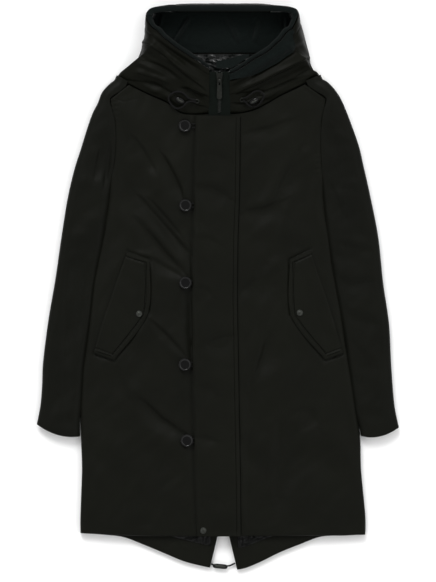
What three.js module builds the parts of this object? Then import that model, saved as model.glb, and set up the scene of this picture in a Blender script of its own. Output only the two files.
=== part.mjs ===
// A hooded parka laid flat on its back, hood up, front closed.
// Millimetres. X runs to the right of the picture, Y towards the hood, Z up from the floor.
import * as THREE from "three";

// Driving sizes
const SEAM_GAP = 0.3;
const BACK_TOP = 10;
const FRONT_BOTTOM = 10.9;
const FRONT_PAD = 11.5;
const EDGE_ROUND = 20;
const ARMHOLE_ROUND = 9;
const UNDERARM_Y = 215;
const EDGE_WALL = 1.6;
const SLEEVE_HEIGHT = 25;
const SLEEVE_WALL = 11;
const SLEEVE_SLIT = 1.2;
const SLEEVE_GAP = 0.8;
const HOOD_WALL = 8;
const LINING_GAP = 1;
const LINING_WALL = 2;
const CENTRE_FRONT_X = 4;
const CENTRE_BACK_X = 11;
const VENT_TOP_Y = -429;
const HEM_Y = -472;
const FLAP_THICKNESS = 3;
const FLAP_LIFT = 0.9;
const PLACKET_THICKNESS = 3.6;
const PLACKET_LIFT = 3.2;
const ZIP_LIFT = 1.1;
const ZIP_TAPE = 1;
const BUTTON_RADIUS = 12;
const BUTTON_HEIGHT = 7.6;
const SNAP_RADIUS = 6.2;
const ZIP_TOP_Y = 407;
const PULL_HINGE_Y = 390;
const PULL_X = 3.5;
const PULL_LENGTH = 36;
const PULL_WIDTH = 10;
const CORD_RADIUS = 1.6;
const LOOP_RADIUS = 1.2;

// Colours
const SHELL = 0x1b1c18;
const SLEEVE_SHELL = 0x191a17;
const HOOD_SHELL = 0x151513;
const FLEECE = 0x121615;
const SHINY = 0x171a18;
const TAPE = 0x181a17;
const TRIM = 0x0b0b0b;

// Edges of the pattern pieces, from the neck to the hem, seen from the front
const SIDE_RIGHT = [
  { x: -169, y: 384 }, { x: -188.5, y: 369.5 }, { x: -204.5, y: 356 }, { x: -202, y: 336 },
  { x: -197, y: 314 }, { x: -195, y: 274 }, { x: -198, y: 241 }, { x: -202, y: 213 },
  { x: -212, y: 141 }, { x: -218, y: 101 }, { x: -229, y: 48 }, { x: -237, y: 8 },
  { x: -242, y: -40 }, { x: -250, y: -106 }, { x: -258, y: -160 }, { x: -261, y: -226 },
  { x: -260, y: -283 }, { x: -258, y: -348 }, { x: -261, y: -433 }, { x: -261, y: -468 },
];
const SIDE_LEFT = [
  { x: 166, y: 385 }, { x: 188.5, y: 370 }, { x: 206, y: 357 }, { x: 204, y: 338 },
  { x: 200, y: 315 }, { x: 198, y: 266 }, { x: 199, y: 241 }, { x: 200, y: 213 },
  { x: 206, y: 141 }, { x: 213, y: 101 }, { x: 219, y: 48 }, { x: 226, y: 8 },
  { x: 235, y: -40 }, { x: 244, y: -106 }, { x: 253, y: -160 }, { x: 263, y: -226 },
  { x: 271, y: -283 }, { x: 273, y: -348 }, { x: 281, y: -433 }, { x: 281, y: -471 },
];
const NECK_RIGHT = [
  { x: -169, y: 384 }, { x: -159, y: 378.5 }, { x: -128, y: 363.5 }, { x: -96, y: 349 },
  { x: -70, y: 330 }, { x: -43, y: 327 }, { x: -18, y: 328 }, { x: 3.7, y: 328 },
];
const NECK_LEFT = [
  { x: 166, y: 385 }, { x: 151, y: 377 }, { x: 120, y: 362.5 }, { x: 94, y: 347.5 },
  { x: 71, y: 336 }, { x: 48, y: 330 }, { x: 25, y: 328 }, { x: 4.3, y: 328 },
];
const TAIL_RIGHT = [
  { x: -261, y: -467 }, { x: -223, y: -470 }, { x: -180, y: -475 }, { x: -140, y: -490 },
  { x: -104, y: -505 }, { x: -66, y: -521 }, { x: -33, y: -530 }, { x: -14, y: -534 },
];
const TAIL_LEFT = [
  { x: 281, y: -471 }, { x: 242, y: -473 }, { x: 198, y: -475 }, { x: 157, y: -490 },
  { x: 120, y: -505 }, { x: 88, y: -521 }, { x: 58, y: -534 }, { x: 40, y: -538 },
];
const SLEEVE_RIGHT = [
  { outX: -192, outY: 396, inX: -173, inY: 383.5 }, { outX: -206, outY: 386, inX: -189, inY: 371 },
  { outX: -220, outY: 370, inX: -207, inY: 357 }, { outX: -228, outY: 350, inX: -203, inY: 336 },
  { outX: -238, outY: 330, inX: -198, inY: 314 }, { outX: -248, outY: 302, inX: -196, inY: 283 },
  { outX: -261, outY: 260, inX: -198, inY: 245 }, { outX: -273, outY: 222, inX: -203, inY: 207 },
  { outX: -286, outY: 165, inX: -211, inY: 150 }, { outX: -298, outY: 89, inX: -222, inY: 80 },
  { outX: -309, outY: 13, inX: -237, inY: 8 }, { outX: -322, outY: -63, inX: -246, inY: -70 },
  { outX: -332, outY: -142, inX: -257, inY: -148 }, { outX: -334, outY: -186, inX: -260, inY: -196 },
  { outX: -337, outY: -224, inX: -262, inY: -236 }, { outX: -344, outY: -261, inX: -261, inY: -284 },
];
const SLEEVE_LEFT = [
  { outX: 196, outY: 397, inX: 170, inY: 384.5 }, { outX: 208, outY: 391, inX: 189, inY: 372 },
  { outX: 221, outY: 378, inX: 209, inY: 358 }, { outX: 233, outY: 361, inX: 205, inY: 338 },
  { outX: 244, outY: 337, inX: 201, inY: 315 }, { outX: 254, outY: 311, inX: 199, inY: 281 },
  { outX: 269, outY: 268, inX: 200, inY: 240 }, { outX: 278, outY: 229, inX: 201, inY: 205 },
  { outX: 291, outY: 171, inX: 207, inY: 141 }, { outX: 306, outY: 93, inX: 216, inY: 74 },
  { outX: 315, outY: 8, inX: 227, inY: 4 }, { outX: 326, outY: -68, inX: 241, inY: -70 },
  { outX: 330, outY: -142, inX: 253, inY: -148 }, { outX: 333, outY: -186, inX: 260, inY: -196 },
  { outX: 337, outY: -228, inX: 266, inY: -243 }, { outX: 345, outY: -267, inX: 272, inY: -283 },
];
// Hood stations from the zip round the face opening to the crown: neck or floor edge, then rim
const HOOD_RIGHT = [
  { x: -18, y: 330, z: 24, rimX: -18, rimY: 412, rimZ: 48 },
  { x: -43, y: 329, z: 24, rimX: -33, rimY: 423, rimZ: 52 },
  { x: -70, y: 332, z: 24, rimX: -47, rimY: 431, rimZ: 54 },
  { x: -96, y: 352, z: 24, rimX: -58, rimY: 438, rimZ: 55 },
  { x: -128, y: 366, z: 23, rimX: -71, rimY: 446, rimZ: 56 },
  { x: -159, y: 381, z: 20, rimX: -85, rimY: 456, rimZ: 56 },
  { x: -178, y: 391, z: 14, rimX: -96, rimY: 465, rimZ: 56 },
  { x: -190, y: 402, z: 4, rimX: -104, rimY: 471, rimZ: 56 },
  { x: -174, y: 412, z: 0, rimX: -110, rimY: 478, rimZ: 55 },
  { x: -158, y: 426, z: 0, rimX: -116, rimY: 484, rimZ: 54 },
  { x: -148, y: 445, z: 0, rimX: -123, rimY: 488, rimZ: 53 },
  { x: -143, y: 462, z: 0, rimX: -129, rimY: 495, rimZ: 52 },
  { x: -139, y: 483, z: 0, rimX: -133, rimY: 503, rimZ: 50 },
  { x: -137, y: 504, z: 0, rimX: -135, rimY: 511, rimZ: 48 },
  { x: -134, y: 521, z: 0, rimX: -133, rimY: 520, rimZ: 46 },
  { x: -125, y: 531, z: 0, rimX: -125, rimY: 528, rimZ: 44 },
  { x: -106, y: 536, z: 0, rimX: -107, rimY: 532, rimZ: 42 },
  { x: -79, y: 538, z: 0, rimX: -79, rimY: 534, rimZ: 41 },
];
const HOOD_LEFT = [
  { x: 25, y: 330, z: 24, rimX: 25, rimY: 403, rimZ: 46 },
  { x: 48, y: 332, z: 24, rimX: 39, rimY: 410, rimZ: 50 },
  { x: 71, y: 338, z: 24, rimX: 54, rimY: 419, rimZ: 53 },
  { x: 94, y: 350, z: 24, rimX: 67, rimY: 428, rimZ: 55 },
  { x: 120, y: 365, z: 23, rimX: 82, rimY: 436, rimZ: 56 },
  { x: 151, y: 380, z: 20, rimX: 98, rimY: 446, rimZ: 56 },
  { x: 172, y: 390, z: 14, rimX: 110, rimY: 457, rimZ: 56 },
  { x: 193, y: 403, z: 4, rimX: 120, rimY: 466, rimZ: 56 },
  { x: 184, y: 412, z: 0, rimX: 127, rimY: 475, rimZ: 55 },
  { x: 177, y: 426, z: 0, rimX: 133, rimY: 482, rimZ: 54 },
  { x: 175, y: 443, z: 0, rimX: 141, rimY: 487, rimZ: 53 },
  { x: 170, y: 461, z: 0, rimX: 146, rimY: 495, rimZ: 52 },
  { x: 165, y: 481, z: 0, rimX: 150, rimY: 503, rimZ: 50 },
  { x: 159, y: 502, z: 0, rimX: 152, rimY: 511, rimZ: 48 },
  { x: 154, y: 519, z: 0, rimX: 152, rimY: 520, rimZ: 46 },
  { x: 146, y: 531, z: 0, rimX: 145, rimY: 528, rimZ: 44 },
  { x: 126, y: 536, z: 0, rimX: 127, rimY: 532, rimZ: 42 },
  { x: 100, y: 538, z: 0, rimX: 100, rimY: 534, rimZ: 41 },
];
const PLACKET_EDGES = [
  { left: -41, right: 43, y: 326 }, { left: -44, right: 42, y: 241 }, { left: -44, right: 41, y: 165 },
  { left: -47, right: 38, y: 89 }, { left: -48, right: 37, y: -25 }, { left: -47, right: 39, y: -139 },
  { left: -45, right: 41, y: -253 }, { left: -42, right: 43, y: -367 }, { left: -39, right: 44, y: -471 },
];
const FLAP_RIGHT = [
  { outX: -172, outY: 66, inX: -130, inY: 52 }, { outX: -215, outY: -55, inX: -133, inY: -51 },
  { outX: -235, outY: -124, inX: -197, inY: -138 },
];
const FLAP_LEFT = [
  { outX: 176, outY: 70, inX: 138, inY: 52 }, { outX: 216, outY: -49, inX: 140, inY: -54 },
  { outX: 238, outY: -124, inX: 204, inY: -137 },
];
const BUTTONS = [
  { x: -62, y: 306 }, { x: -61, y: 155 }, { x: -61, y: 8 }, { x: -62, y: -147 }, { x: -58, y: -291 },
];
const SNAPS = [
  { name: "snap_hem", x: -27, y: -462, on: "placket" },
  { name: "snap_pocket_right", x: -149, y: -51, on: "flap" },
  { name: "snap_pocket_left", x: 156, y: -49, on: "flap" },
];

// Folds: a soft ridge of the given height from one end to the other, with a trough beside it
const FOLDS = [
  { x1: -96, y1: 274, x2: -62, y2: 172, width: 15, height: 3.0 },
  { x1: -160, y1: 293, x2: -115, y2: 190, width: 16, height: 2.4 },
  { x1: -115, y1: 190, x2: -52, y2: 64, width: 15, height: 2.8 },
  { x1: -147, y1: 165, x2: -64, y2: 36, width: 14, height: 3.2 },
  { x1: -132, y1: -57, x2: -66, y2: -133, width: 14, height: 3.6 },
  { x1: -172, y1: -182, x2: -60, y2: -276, width: 16, height: 3.0 },
  { x1: 145, y1: 274, x2: 94, y2: 160, width: 18, height: 2.4 },
  { x1: 120, y1: 52, x2: 43, y2: -19, width: 17, height: 2.4 },
  { x1: 77, y1: -91, x2: 67, y2: -167, width: 15, height: 2.4 },
  { x1: 62, y1: 158, x2: 138, y2: 156, width: 16, height: 1.8 },
  { x1: -233, y1: 262, x2: -214, y2: 165, width: 11, height: 2.6 },
  { x1: -274, y1: 165, x2: -276, y2: -210, width: 13, height: 2.4 },
  { x1: 214, y1: 78, x2: 292, y2: 58, width: 14, height: 2.8 },
  { x1: 222, y1: 20, x2: 262, y2: -18, width: 13, height: 2.2 },
  { x1: 224, y1: 168, x2: 243, y2: 20, width: 13, height: 2.4 },
];
const HOOD_FOLDS = [
  { x1: -138, y1: 462, x2: -28, y2: 376, width: 12, height: 5.5 },
  { x1: -124, y1: 479, x2: -20, y2: 410, width: 8, height: 3.4 },
  { x1: -155, y1: 405, x2: -96, y2: 386, width: 9, height: 3.2 },
  { x1: -74, y1: 394, x2: -20, y2: 360, width: 9, height: 3.0 },
  { x1: -160, y1: 392, x2: -70, y2: 348, width: 12, height: 3.6 },
  { x1: 41, y1: 367, x2: 172, y2: 432, width: 12, height: 5.5 },
  { x1: 30, y1: 388, x2: 150, y2: 463, width: 8, height: 3.4 },
  { x1: 60, y1: 350, x2: 175, y2: 400, width: 12, height: 3.6 },
];

// Small helpers
function mix(a, b, t) {
  return a + (b - a) * t;
}

function clamp01(t) {
  return Math.min(1, Math.max(0, t));
}

function smooth(t) {
  const s = clamp01(t);
  return s * s * (3 - 2 * s);
}

function roundOff(distance, radius) {
  const s = clamp01(distance / radius);
  return Math.sqrt(Math.max(0, 1 - (1 - s) * (1 - s)));
}

// The value of a named column at a place t from 0 to 1 down a table, on a smooth curve
function column(table, name, t) {
  const place = clamp01(t) * (table.length - 1);
  const i = Math.min(table.length - 2, Math.floor(place));
  const f = place - i;
  const at = (k) => table[Math.min(table.length - 1, Math.max(0, k))][name];
  const before = (at(i + 1) - at(i - 1)) / 2;
  const after = (at(i + 2) - at(i)) / 2;
  const step = at(i + 1) - at(i);
  return at(i) + f * (before + f * (3 * step - 2 * before - after + f * (before + after - 2 * step)));
}

// The value of a named column at a height y in a table that runs down the garment
function columnAtY(table, name, y) {
  let i = 0;
  while (i < table.length - 2 && table[i + 1].y > y) i += 1;
  const f = clamp01((table[i].y - y) / (table[i].y - table[i + 1].y));
  return mix(table[i][name], table[i + 1][name], f);
}

function foldHeight(folds, x, y) {
  let height = 0;
  for (const fold of folds) {
    const dx = fold.x2 - fold.x1;
    const dy = fold.y2 - fold.y1;
    const length = Math.hypot(dx, dy);
    const along = ((x - fold.x1) * dx + (y - fold.y1) * dy) / (length * length);
    const across = ((x - fold.x1) * dy - (y - fold.y1) * dx) / length / fold.width;
    if (along < -0.2 || along > 1.2 || Math.abs(across) > 3) continue;
    const taper = smooth((along + 0.2) / 0.35) * smooth((1.2 - along) / 0.35);
    const ridge = Math.exp(-across * across * 1.6);
    const trough = 0.7 * Math.exp(-(across - 1.25) * (across - 1.25) * 1.8);
    height += fold.height * taper * (ridge - trough);
  }
  return height;
}

function sideDistance(x, y) {
  return Math.max(0, Math.min(x - columnAtY(SIDE_RIGHT, "x", y), columnAtY(SIDE_LEFT, "x", y) - x));
}

// How much of the front at a place lies under the placket or a flap, where it has no folds
function placketCover(x) {
  return smooth((52 - Math.abs(x + 3)) / 8);
}

function flapCover(table, x, y) {
  const last = table.length - 1;
  const t = (table[0].outY - 6 - y) / (table[0].outY - 6 - table[last].outY);
  const from = column(table, "outX", t);
  const to = column(table, "inX", t);
  const inward = Math.min((x - from) * Math.sign(to - from), (to - x) * Math.sign(to - from));
  const along = Math.min(t, 1 - t) * 190;
  return smooth((Math.min(inward, along) + 12) / 10);
}

// Height of the closed front above the floor at any place
function frontTop(x, y) {
  const d = sideDistance(x, y);
  const belowArm = smooth((UNDERARM_Y - y) / 50);
  const round = roundOff(d, mix(ARMHOLE_ROUND, EDGE_ROUND, belowArm));
  const edge = mix(FRONT_PAD * 0.72, EDGE_WALL, belowArm);
  const crown = 3.2 * smooth(d / 140) - 2.2 * smooth((HEM_Y + 45 - y) / 45);
  const inside = smooth((d - 4) / 26);
  const bare = 1 - Math.max(placketCover(x), flapCover(FLAP_RIGHT, x, y), flapCover(FLAP_LEFT, x, y));
  return FRONT_BOTTOM + mix(edge, FRONT_PAD, round) + inside * (crown + bare * foldHeight(FOLDS, x, y));
}

// A closed wall between an upper and a lower grid of points that share their rim
function wall(upper, lower, columns, rows) {
  const points = [];
  const faces = [];
  const across = columns + 1;
  const index = (side, i, j) => side * across * (rows + 1) + j * across + i;
  for (const surface of [upper, lower]) {
    for (let j = 0; j <= rows; j += 1) {
      for (let i = 0; i < across; i += 1) points.push(...surface(i / columns, j / rows));
    }
  }
  const quad = (a, b, c, d) => faces.push(a, b, c, a, c, d);
  for (let j = 0; j < rows; j += 1) {
    for (let i = 0; i < columns; i += 1) {
      quad(index(0, i, j), index(0, i, j + 1), index(0, i + 1, j + 1), index(0, i + 1, j));
      quad(index(1, i, j), index(1, i + 1, j), index(1, i + 1, j + 1), index(1, i, j + 1));
    }
  }
  for (let i = 0; i < columns; i += 1) {
    quad(index(0, i, 0), index(0, i + 1, 0), index(1, i + 1, 0), index(1, i, 0));
    quad(index(0, i + 1, rows), index(0, i, rows), index(1, i, rows), index(1, i + 1, rows));
  }
  for (let j = 0; j < rows; j += 1) {
    quad(index(0, 0, j + 1), index(0, 0, j), index(1, 0, j), index(1, 0, j + 1));
    quad(index(0, columns, j), index(0, columns, j + 1), index(1, columns, j + 1), index(1, columns, j));
  }
  return closedGeometry(points, faces);
}

// The same wall with a plain flat underside, so that its folds are on the outer face alone
function flatBacked(upper, floorZ, columns, rows) {
  const points = [];
  const faces = [];
  const index = (i, j) => j * (columns + 1) + i;
  for (let j = 0; j <= rows; j += 1) {
    for (let i = 0; i <= columns; i += 1) points.push(...upper(i / columns, j / rows));
  }
  for (let j = 0; j < rows; j += 1) {
    for (let i = 0; i < columns; i += 1) {
      faces.push(index(i, j), index(i, j + 1), index(i + 1, j + 1));
      faces.push(index(i, j), index(i + 1, j + 1), index(i + 1, j));
    }
  }
  const rim = [];
  for (let j = 0; j < rows; j += 1) rim.push(index(0, j));
  for (let i = 0; i < columns; i += 1) rim.push(index(i, rows));
  for (let j = rows; j > 0; j -= 1) rim.push(index(columns, j));
  for (let i = columns; i > 0; i -= 1) rim.push(index(i, 0));
  const first = points.length / 3;
  const outline = rim.map((k) => new THREE.Vector2(points[3 * k], points[3 * k + 1]));
  for (const p of outline) points.push(p.x, p.y, floorZ);
  rim.forEach((k, n) => {
    const next = (n + 1) % rim.length;
    faces.push(rim[next], k, first + n, rim[next], first + n, first + next);
  });
  const upward = THREE.ShapeUtils.area(outline) > 0;
  for (const [a, b, c] of THREE.ShapeUtils.triangulateShape(outline, [])) {
    if (upward) faces.push(first + a, first + c, first + b);
    else faces.push(first + a, first + b, first + c);
  }
  return closedGeometry(points, faces);
}

// Turns the faces outward if their signed volume says that they point in
function closedGeometry(points, faces) {
  let volume = 0;
  const corner = (k) => new THREE.Vector3(points[3 * k], points[3 * k + 1], points[3 * k + 2]);
  for (let f = 0; f < faces.length; f += 3) {
    volume += corner(faces[f]).dot(corner(faces[f + 1]).cross(corner(faces[f + 2])));
  }
  if (volume < 0) {
    for (let f = 0; f < faces.length; f += 3) [faces[f], faces[f + 1]] = [faces[f + 1], faces[f]];
  }
  const geometry = new THREE.BufferGeometry();
  geometry.setAttribute("position", new THREE.Float32BufferAttribute(points, 3));
  geometry.setIndex(faces);
  geometry.computeVertexNormals();
  return geometry;
}

const parka = new THREE.Group();

function addPiece(name, geometry, colour, roughness = 0.9, metalness = 0) {
  const material = new THREE.MeshStandardMaterial({ color: colour, roughness, metalness });
  const mesh = new THREE.Mesh(geometry, material);
  mesh.name = name;
  parka.add(mesh);
  return mesh;
}

// Places where a grid is closer near its ends than in its middle
function crowdEnds(t, amount) {
  return t - (amount * Math.sin(2 * Math.PI * t)) / (2 * Math.PI);
}

// A body panel between its neck line, side seam, hem and centre line
function bodyPoint(side, neck, hem, centreX, u, v) {
  const sideX = column(side, "x", v);
  const sideY = column(side, "y", v);
  const neckX = column(neck, "x", u);
  const neckY = column(neck, "y", u);
  const hemX = column(hem, "x", u);
  const hemY = column(hem, "y", u);
  const centre = centreX(mix(column(neck, "y", 1), column(hem, "y", 1), v));
  const centreY = mix(column(neck, "y", 1), column(hem, "y", 1), v);
  const ruledX = mix(sideX, centre, u) + mix(neckX, hemX, v);
  const ruledY = mix(sideY, centreY, u) + mix(neckY, hemY, v);
  const [neckEnd, hemEnd] = [neck[neck.length - 1], hem[hem.length - 1]];
  const cornerX = mix(mix(neck[0].x, neckEnd.x, u), mix(hem[0].x, hemEnd.x, u), v);
  const cornerY = mix(mix(neck[0].y, neckEnd.y, u), mix(hem[0].y, hemEnd.y, u), v);
  return { x: ruledX - cornerX, y: ruledY - cornerY };
}

function addFront(name, side, neck, centre, sign) {
  const hem = [
    { x: side[side.length - 1].x, y: side[side.length - 1].y }, { x: sign * 150, y: HEM_Y - 1 },
    { x: centre, y: HEM_Y - 2 },
  ];
  const place = (u, v) => bodyPoint(side, neck, hem, () => centre, crowdEnds(u, 0.5), crowdEnds(v, 0.15));
  const rollHem = (v) => roundOff(1 - v, 0.012);
  const upper = (u, v) => {
    const p = place(u, v);
    const full = frontTop(p.x, p.y);
    return [p.x, p.y, mix(FRONT_BOTTOM + 0.75 * (full - FRONT_BOTTOM), full, rollHem(v))];
  };
  addPiece(name, flatBacked(upper, FRONT_BOTTOM, 15, 34), SHELL);
}

function addBack(name, side, hem, sign) {
  const neck = [
    { x: side[0].x, y: side[0].y + 2 },
    { x: sign * 100, y: 418 },
    { x: CENTRE_BACK_X + sign * 0.3, y: 424 },
  ];
  const centreX = (y) => CENTRE_BACK_X + sign * (SEAM_GAP / 2 + Math.max(0, VENT_TOP_Y - y) * 0.24);
  const place = (u, v) => bodyPoint(side, neck, hem, centreX, crowdEnds(u, 0.5), v);
  const rise = (p, v) => {
    const d = sideDistance(p.x, p.y);
    const belowArm = smooth((UNDERARM_Y - p.y) / 50);
    return (1 - roundOff(d, 13)) * mix(3, BACK_TOP - EDGE_WALL, belowArm) * (1 - smooth((v - 0.97) / 0.03));
  };
  const upper = (u, v) => {
    const p = place(u, v);
    return [p.x, p.y, BACK_TOP];
  };
  const lower = (u, v) => {
    const p = place(u, v);
    return [p.x, p.y, rise(p, v)];
  };
  addPiece(name, wall(upper, lower, 8, 14), SHELL);
}

// One sleeve: a wall that runs from its front edge over the top, round the fold and back below
function addSleeve(name, table) {
  const last = table.length - 1;
  const armholeEnd = 7 / last;
  const edges = (v) => ({
    outX: column(table, "outX", v), outY: column(table, "outY", v),
    inX: column(table, "inX", v), inY: column(table, "inY", v),
  });
  // s runs from -1 at the front edge through 0 at the fold to 1 at the back edge
  const section = (s, v) => {
    const e = edges(v);
    const width = Math.hypot(e.outX - e.inX, e.outY - e.inY);
    const side = Math.abs(s);
    const closed = smooth((v - armholeEnd + 0.06) / 0.1);
    const fromFold = side < 0.3 ? 15 * (1 - Math.cos((side / 0.3) * Math.PI * 0.5)) : null;
    const turned = side > 0.78 ? 13 * (1 - Math.sin(((side - 0.78) / 0.22) * Math.PI * 0.5)) : null;
    const flat = mix(15, width - 13, (side - 0.3) / 0.48);
    const open = 13 - (13 - SLEEVE_GAP) * ((side - 0.78) / 0.22);
    const distance = fromFold ?? (turned === null ? flat : width - mix(open, turned + SLEEVE_GAP, closed));
    const fraction = distance / width;
    const bow = 9 * smooth((v - 0.93) / 0.07) * 4 * fraction * (1 - fraction);
    const x = mix(e.outX, e.inX, fraction);
    const y = mix(e.outY, e.inY, fraction) - bow;
    const inner = width - distance;
    const roundIn = mix(0.74 + 0.26 * roundOff(inner, ARMHOLE_ROUND), roundOff(inner, 14), closed);
    const height = SLEEVE_HEIGHT - 2 * smooth((v - 0.6) / 0.4) - 4 * smooth((0.12 - v) / 0.12);
    return { x, y, width, distance, inner, height, closed, lift: roundOff(distance, 16) * roundIn };
  };
  const outside = (u, v) => {
    const s = 2 * u - 1;
    const p = section(s, v);
    const middle = p.height / 2;
    if (s > 0) return [p.x, p.y, middle * (1 - clamp01(roundOff(p.distance, 12) * Math.max(p.lift, 0)))];
    const inside = smooth((p.distance - 6) / 20) * smooth((p.inner - 3) / 14);
    const swell = 1.5 * Math.sin(Math.PI * clamp01(p.distance / p.width));
    const fold = inside * (foldHeight(FOLDS, p.x, p.y) + swell);
    const hem = 1 - 0.25 * (1 - roundOff(1 - v, 0.012));
    return [p.x, p.y, middle + (middle - 0.6) * p.lift * hem + fold + (s < -0.97 ? 0.3 : 0)];
  };
  const inside = (u, v) => {
    const s = 2 * u - 1;
    const p = section(s, v);
    const keep = Math.min(SLEEVE_WALL, p.width / 3);
    const from = Math.min(Math.max(p.distance, keep), p.width - mix(0, 9, p.closed));
    const fraction = from / p.width;
    const e = edges(v);
    const bow = 9 * smooth((v - 0.93) / 0.07) * 4 * fraction * (1 - fraction);
    const slit = SLEEVE_SLIT * Math.min(1, Math.abs(s) / 0.3 + 0.001) * (s > 0 ? -0.5 : 0.5);
    const z = p.height / 2 + slit;
    return [mix(e.outX, e.inX, fraction), mix(e.outY, e.inY, fraction) - bow, z];
  };
  addPiece(name, wall(outside, inside, 18, 18), SLEEVE_SHELL);
}

// The hood: three panels, with the same stations used for its lining and its rim
function hoodProfile(table, u, w) {
  const base = [column(table, "x", u), column(table, "y", u), column(table, "z", u)];
  const rim = [column(table, "rimX", u), column(table, "rimY", u), column(table, "rimZ", u)];
  const steep = smooth((u - 0.3) / 0.35);
  const rise = mix(Math.pow(w, 0.72), Math.sin((w * Math.PI) / 2), 0.5 * steep);
  const bulge = mix(0.02, 0.06, steep) * Math.sin(Math.PI * w);
  const x = mix(base[0], rim[0], w) + (base[0] - rim[0]) * bulge;
  const y = mix(base[1], rim[1], w) + (base[1] - rim[1]) * bulge * (1 - steep);
  return new THREE.Vector3(x, y, mix(base[2], rim[2], rise));
}

function hoodNormal(table, u, w, sign) {
  const h = 0.01;
  const a = hoodProfile(table, Math.min(1, u + h), w).sub(hoodProfile(table, Math.max(0, u - h), w));
  const b = hoodProfile(table, u, Math.min(1, w + h)).sub(hoodProfile(table, u, Math.max(0, w - h)));
  const n = a.cross(b).multiplyScalar(sign).normalize();
  return n;
}

function hoodPoint(table, u, w, depth, sign, raised) {
  const p = hoodProfile(table, u, w);
  const n = hoodNormal(table, u, w, sign);
  const fold = raised ? foldHeight(HOOD_FOLDS, p.x, p.y) * smooth(w / 0.12) * smooth((1 - w) / 0.12) : 0;
  p.addScaledVector(n, fold - depth);
  const onBody = column(table, "z", u) > 8;
  const floor = onBody ? BACK_TOP + 0.6 : 0;
  return [p.x, p.y, Math.max(floor, p.z)];
}

function addHoodSide(name, table, sign) {
  const upper = (u, w) => hoodPoint(table, u, w, 0, sign, true);
  const lower = (u, w) => hoodPoint(table, u, w, HOOD_WALL, sign, false);
  addPiece(name, wall(upper, lower, 17, 10), HOOD_SHELL);
}

// A sheet that follows one hood panel at given depths, from a share of the way up to the rim
function addHoodLayer(name, table, sign, layer) {
  const { outer, inner, from, fromU, toU, columns, rows, colour, raised } = layer;
  const surface = (depth) => (a, b) => {
    const u = mix(fromU, toU, a);
    return hoodPoint(table, u, mix(from(u), 1, b), depth, sign, raised);
  };
  addPiece(name, wall(surface(outer), surface(inner), columns, rows), colour);
}

// The crown strip runs from the back of the neck along the floor and up to the rim
const CROWN = [
  { outY: 430, outZ: 0, inY: 430, inZ: 8 }, { outY: 470, outZ: 0, inY: 470, inZ: 8 },
  { outY: 508, outZ: 0, inY: 505, inZ: 8 }, { outY: 529, outZ: 0, inY: 520, inZ: 8.8 },
  { outY: 536.5, outZ: 3, inY: 526.5, inZ: 12 }, { outY: 539, outZ: 11, inY: 530, inZ: 17 },
  { outY: 538.5, outZ: 21, inY: 530, inZ: 25 }, { outY: 536.6, outZ: 31, inY: 528.4, inZ: 32 },
  { outY: 534.6, outZ: 39, inY: 526.6, inZ: 39 },
];
const CROWN_LEFT_X = -77.8;
const CROWN_RIGHT_X = 98.8;

function addCrown() {
  const at = (y, z) => (u, v) => {
    const x = mix(CROWN_LEFT_X, CROWN_RIGHT_X, u);
    return [x, column(CROWN, y, v), Math.max(0, column(CROWN, z, v))];
  };
  addPiece("hood_crown", wall(at("outY", "outZ"), at("inY", "inZ"), 4, 12), HOOD_SHELL);
  const lining = (offset) => (u, v) => {
    const t = mix(0.52, 1, v);
    return [mix(CROWN_LEFT_X, CROWN_RIGHT_X, u), column(CROWN, "inY", t) - offset, column(CROWN, "inZ", t)];
  };
  addPiece("hood_lining_crown", wall(lining(LINING_GAP), lining(LINING_GAP + LINING_WALL), 3, 5), FLEECE);
  const floorLining = (z) => (u, v) => {
    const narrow = 13 * smooth((v - 0.6) / 0.4);
    const x = mix(-121 + narrow, 139 - narrow, u);
    return [x, mix(446, 517, v), z + 0.9 * Math.sin(5 * Math.PI * u) * Math.sin(Math.PI * v) * (z > 9.5)];
  };
  addPiece("hood_lining_floor", wall(floorLining(10.9), floorLining(8.5), 10, 4), FLEECE);
}

// The rolled edge of the face opening, on top of the walls and their lining
function addBinding() {
  const section = 8;
  const halfWidth = 5.6;
  const halfHeight = 3.6;
  const stations = [];
  const middle = (HOOD_WALL + LINING_GAP + LINING_WALL) / 2;
  const addStation = (table, u, sign) => {
    const rim = hoodProfile(table, u, 1);
    const n = hoodNormal(table, u, 1, sign);
    const t = rim.clone().sub(hoodProfile(table, u, 0.985)).normalize();
    const centre = rim.clone().addScaledVector(n, -middle).addScaledVector(t, halfHeight + 1);
    stations.push({ centre, n, t });
  };
  for (let k = 0; k <= 17; k += 1) addStation(HOOD_RIGHT, k / 17, -1);
  for (let k = 17; k >= 0; k -= 1) addStation(HOOD_LEFT, k / 17, 1);
  const ring = (grow) => (u, v) => {
    const s = stations[Math.round(v * (stations.length - 1))];
    const angle = 2 * Math.PI * u;
    const p = s.centre.clone().addScaledVector(s.n, halfWidth * grow * Math.cos(angle));
    p.addScaledVector(s.t, halfHeight * grow * Math.sin(angle));
    return p.toArray();
  };
  addPiece("hood_edge_binding", tube(ring(1), section, stations.length - 1), FLEECE);
}

// A solid rod through rings of points, closed at both ends
function tube(ring, sides, steps) {
  const points = [];
  const faces = [];
  for (let j = 0; j <= steps; j += 1) {
    for (let i = 0; i < sides; i += 1) points.push(...ring(i / sides, j / steps));
  }
  for (let j = 0; j < steps; j += 1) {
    for (let i = 0; i < sides; i += 1) {
      const a = j * sides + i;
      const b = j * sides + ((i + 1) % sides);
      faces.push(a, b, b + sides, a, b + sides, a + sides);
    }
  }
  for (let i = 1; i < sides - 1; i += 1) {
    faces.push(0, i + 1, i);
    faces.push(steps * sides, steps * sides + i, steps * sides + i + 1);
  }
  return closedGeometry(points, faces);
}

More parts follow.
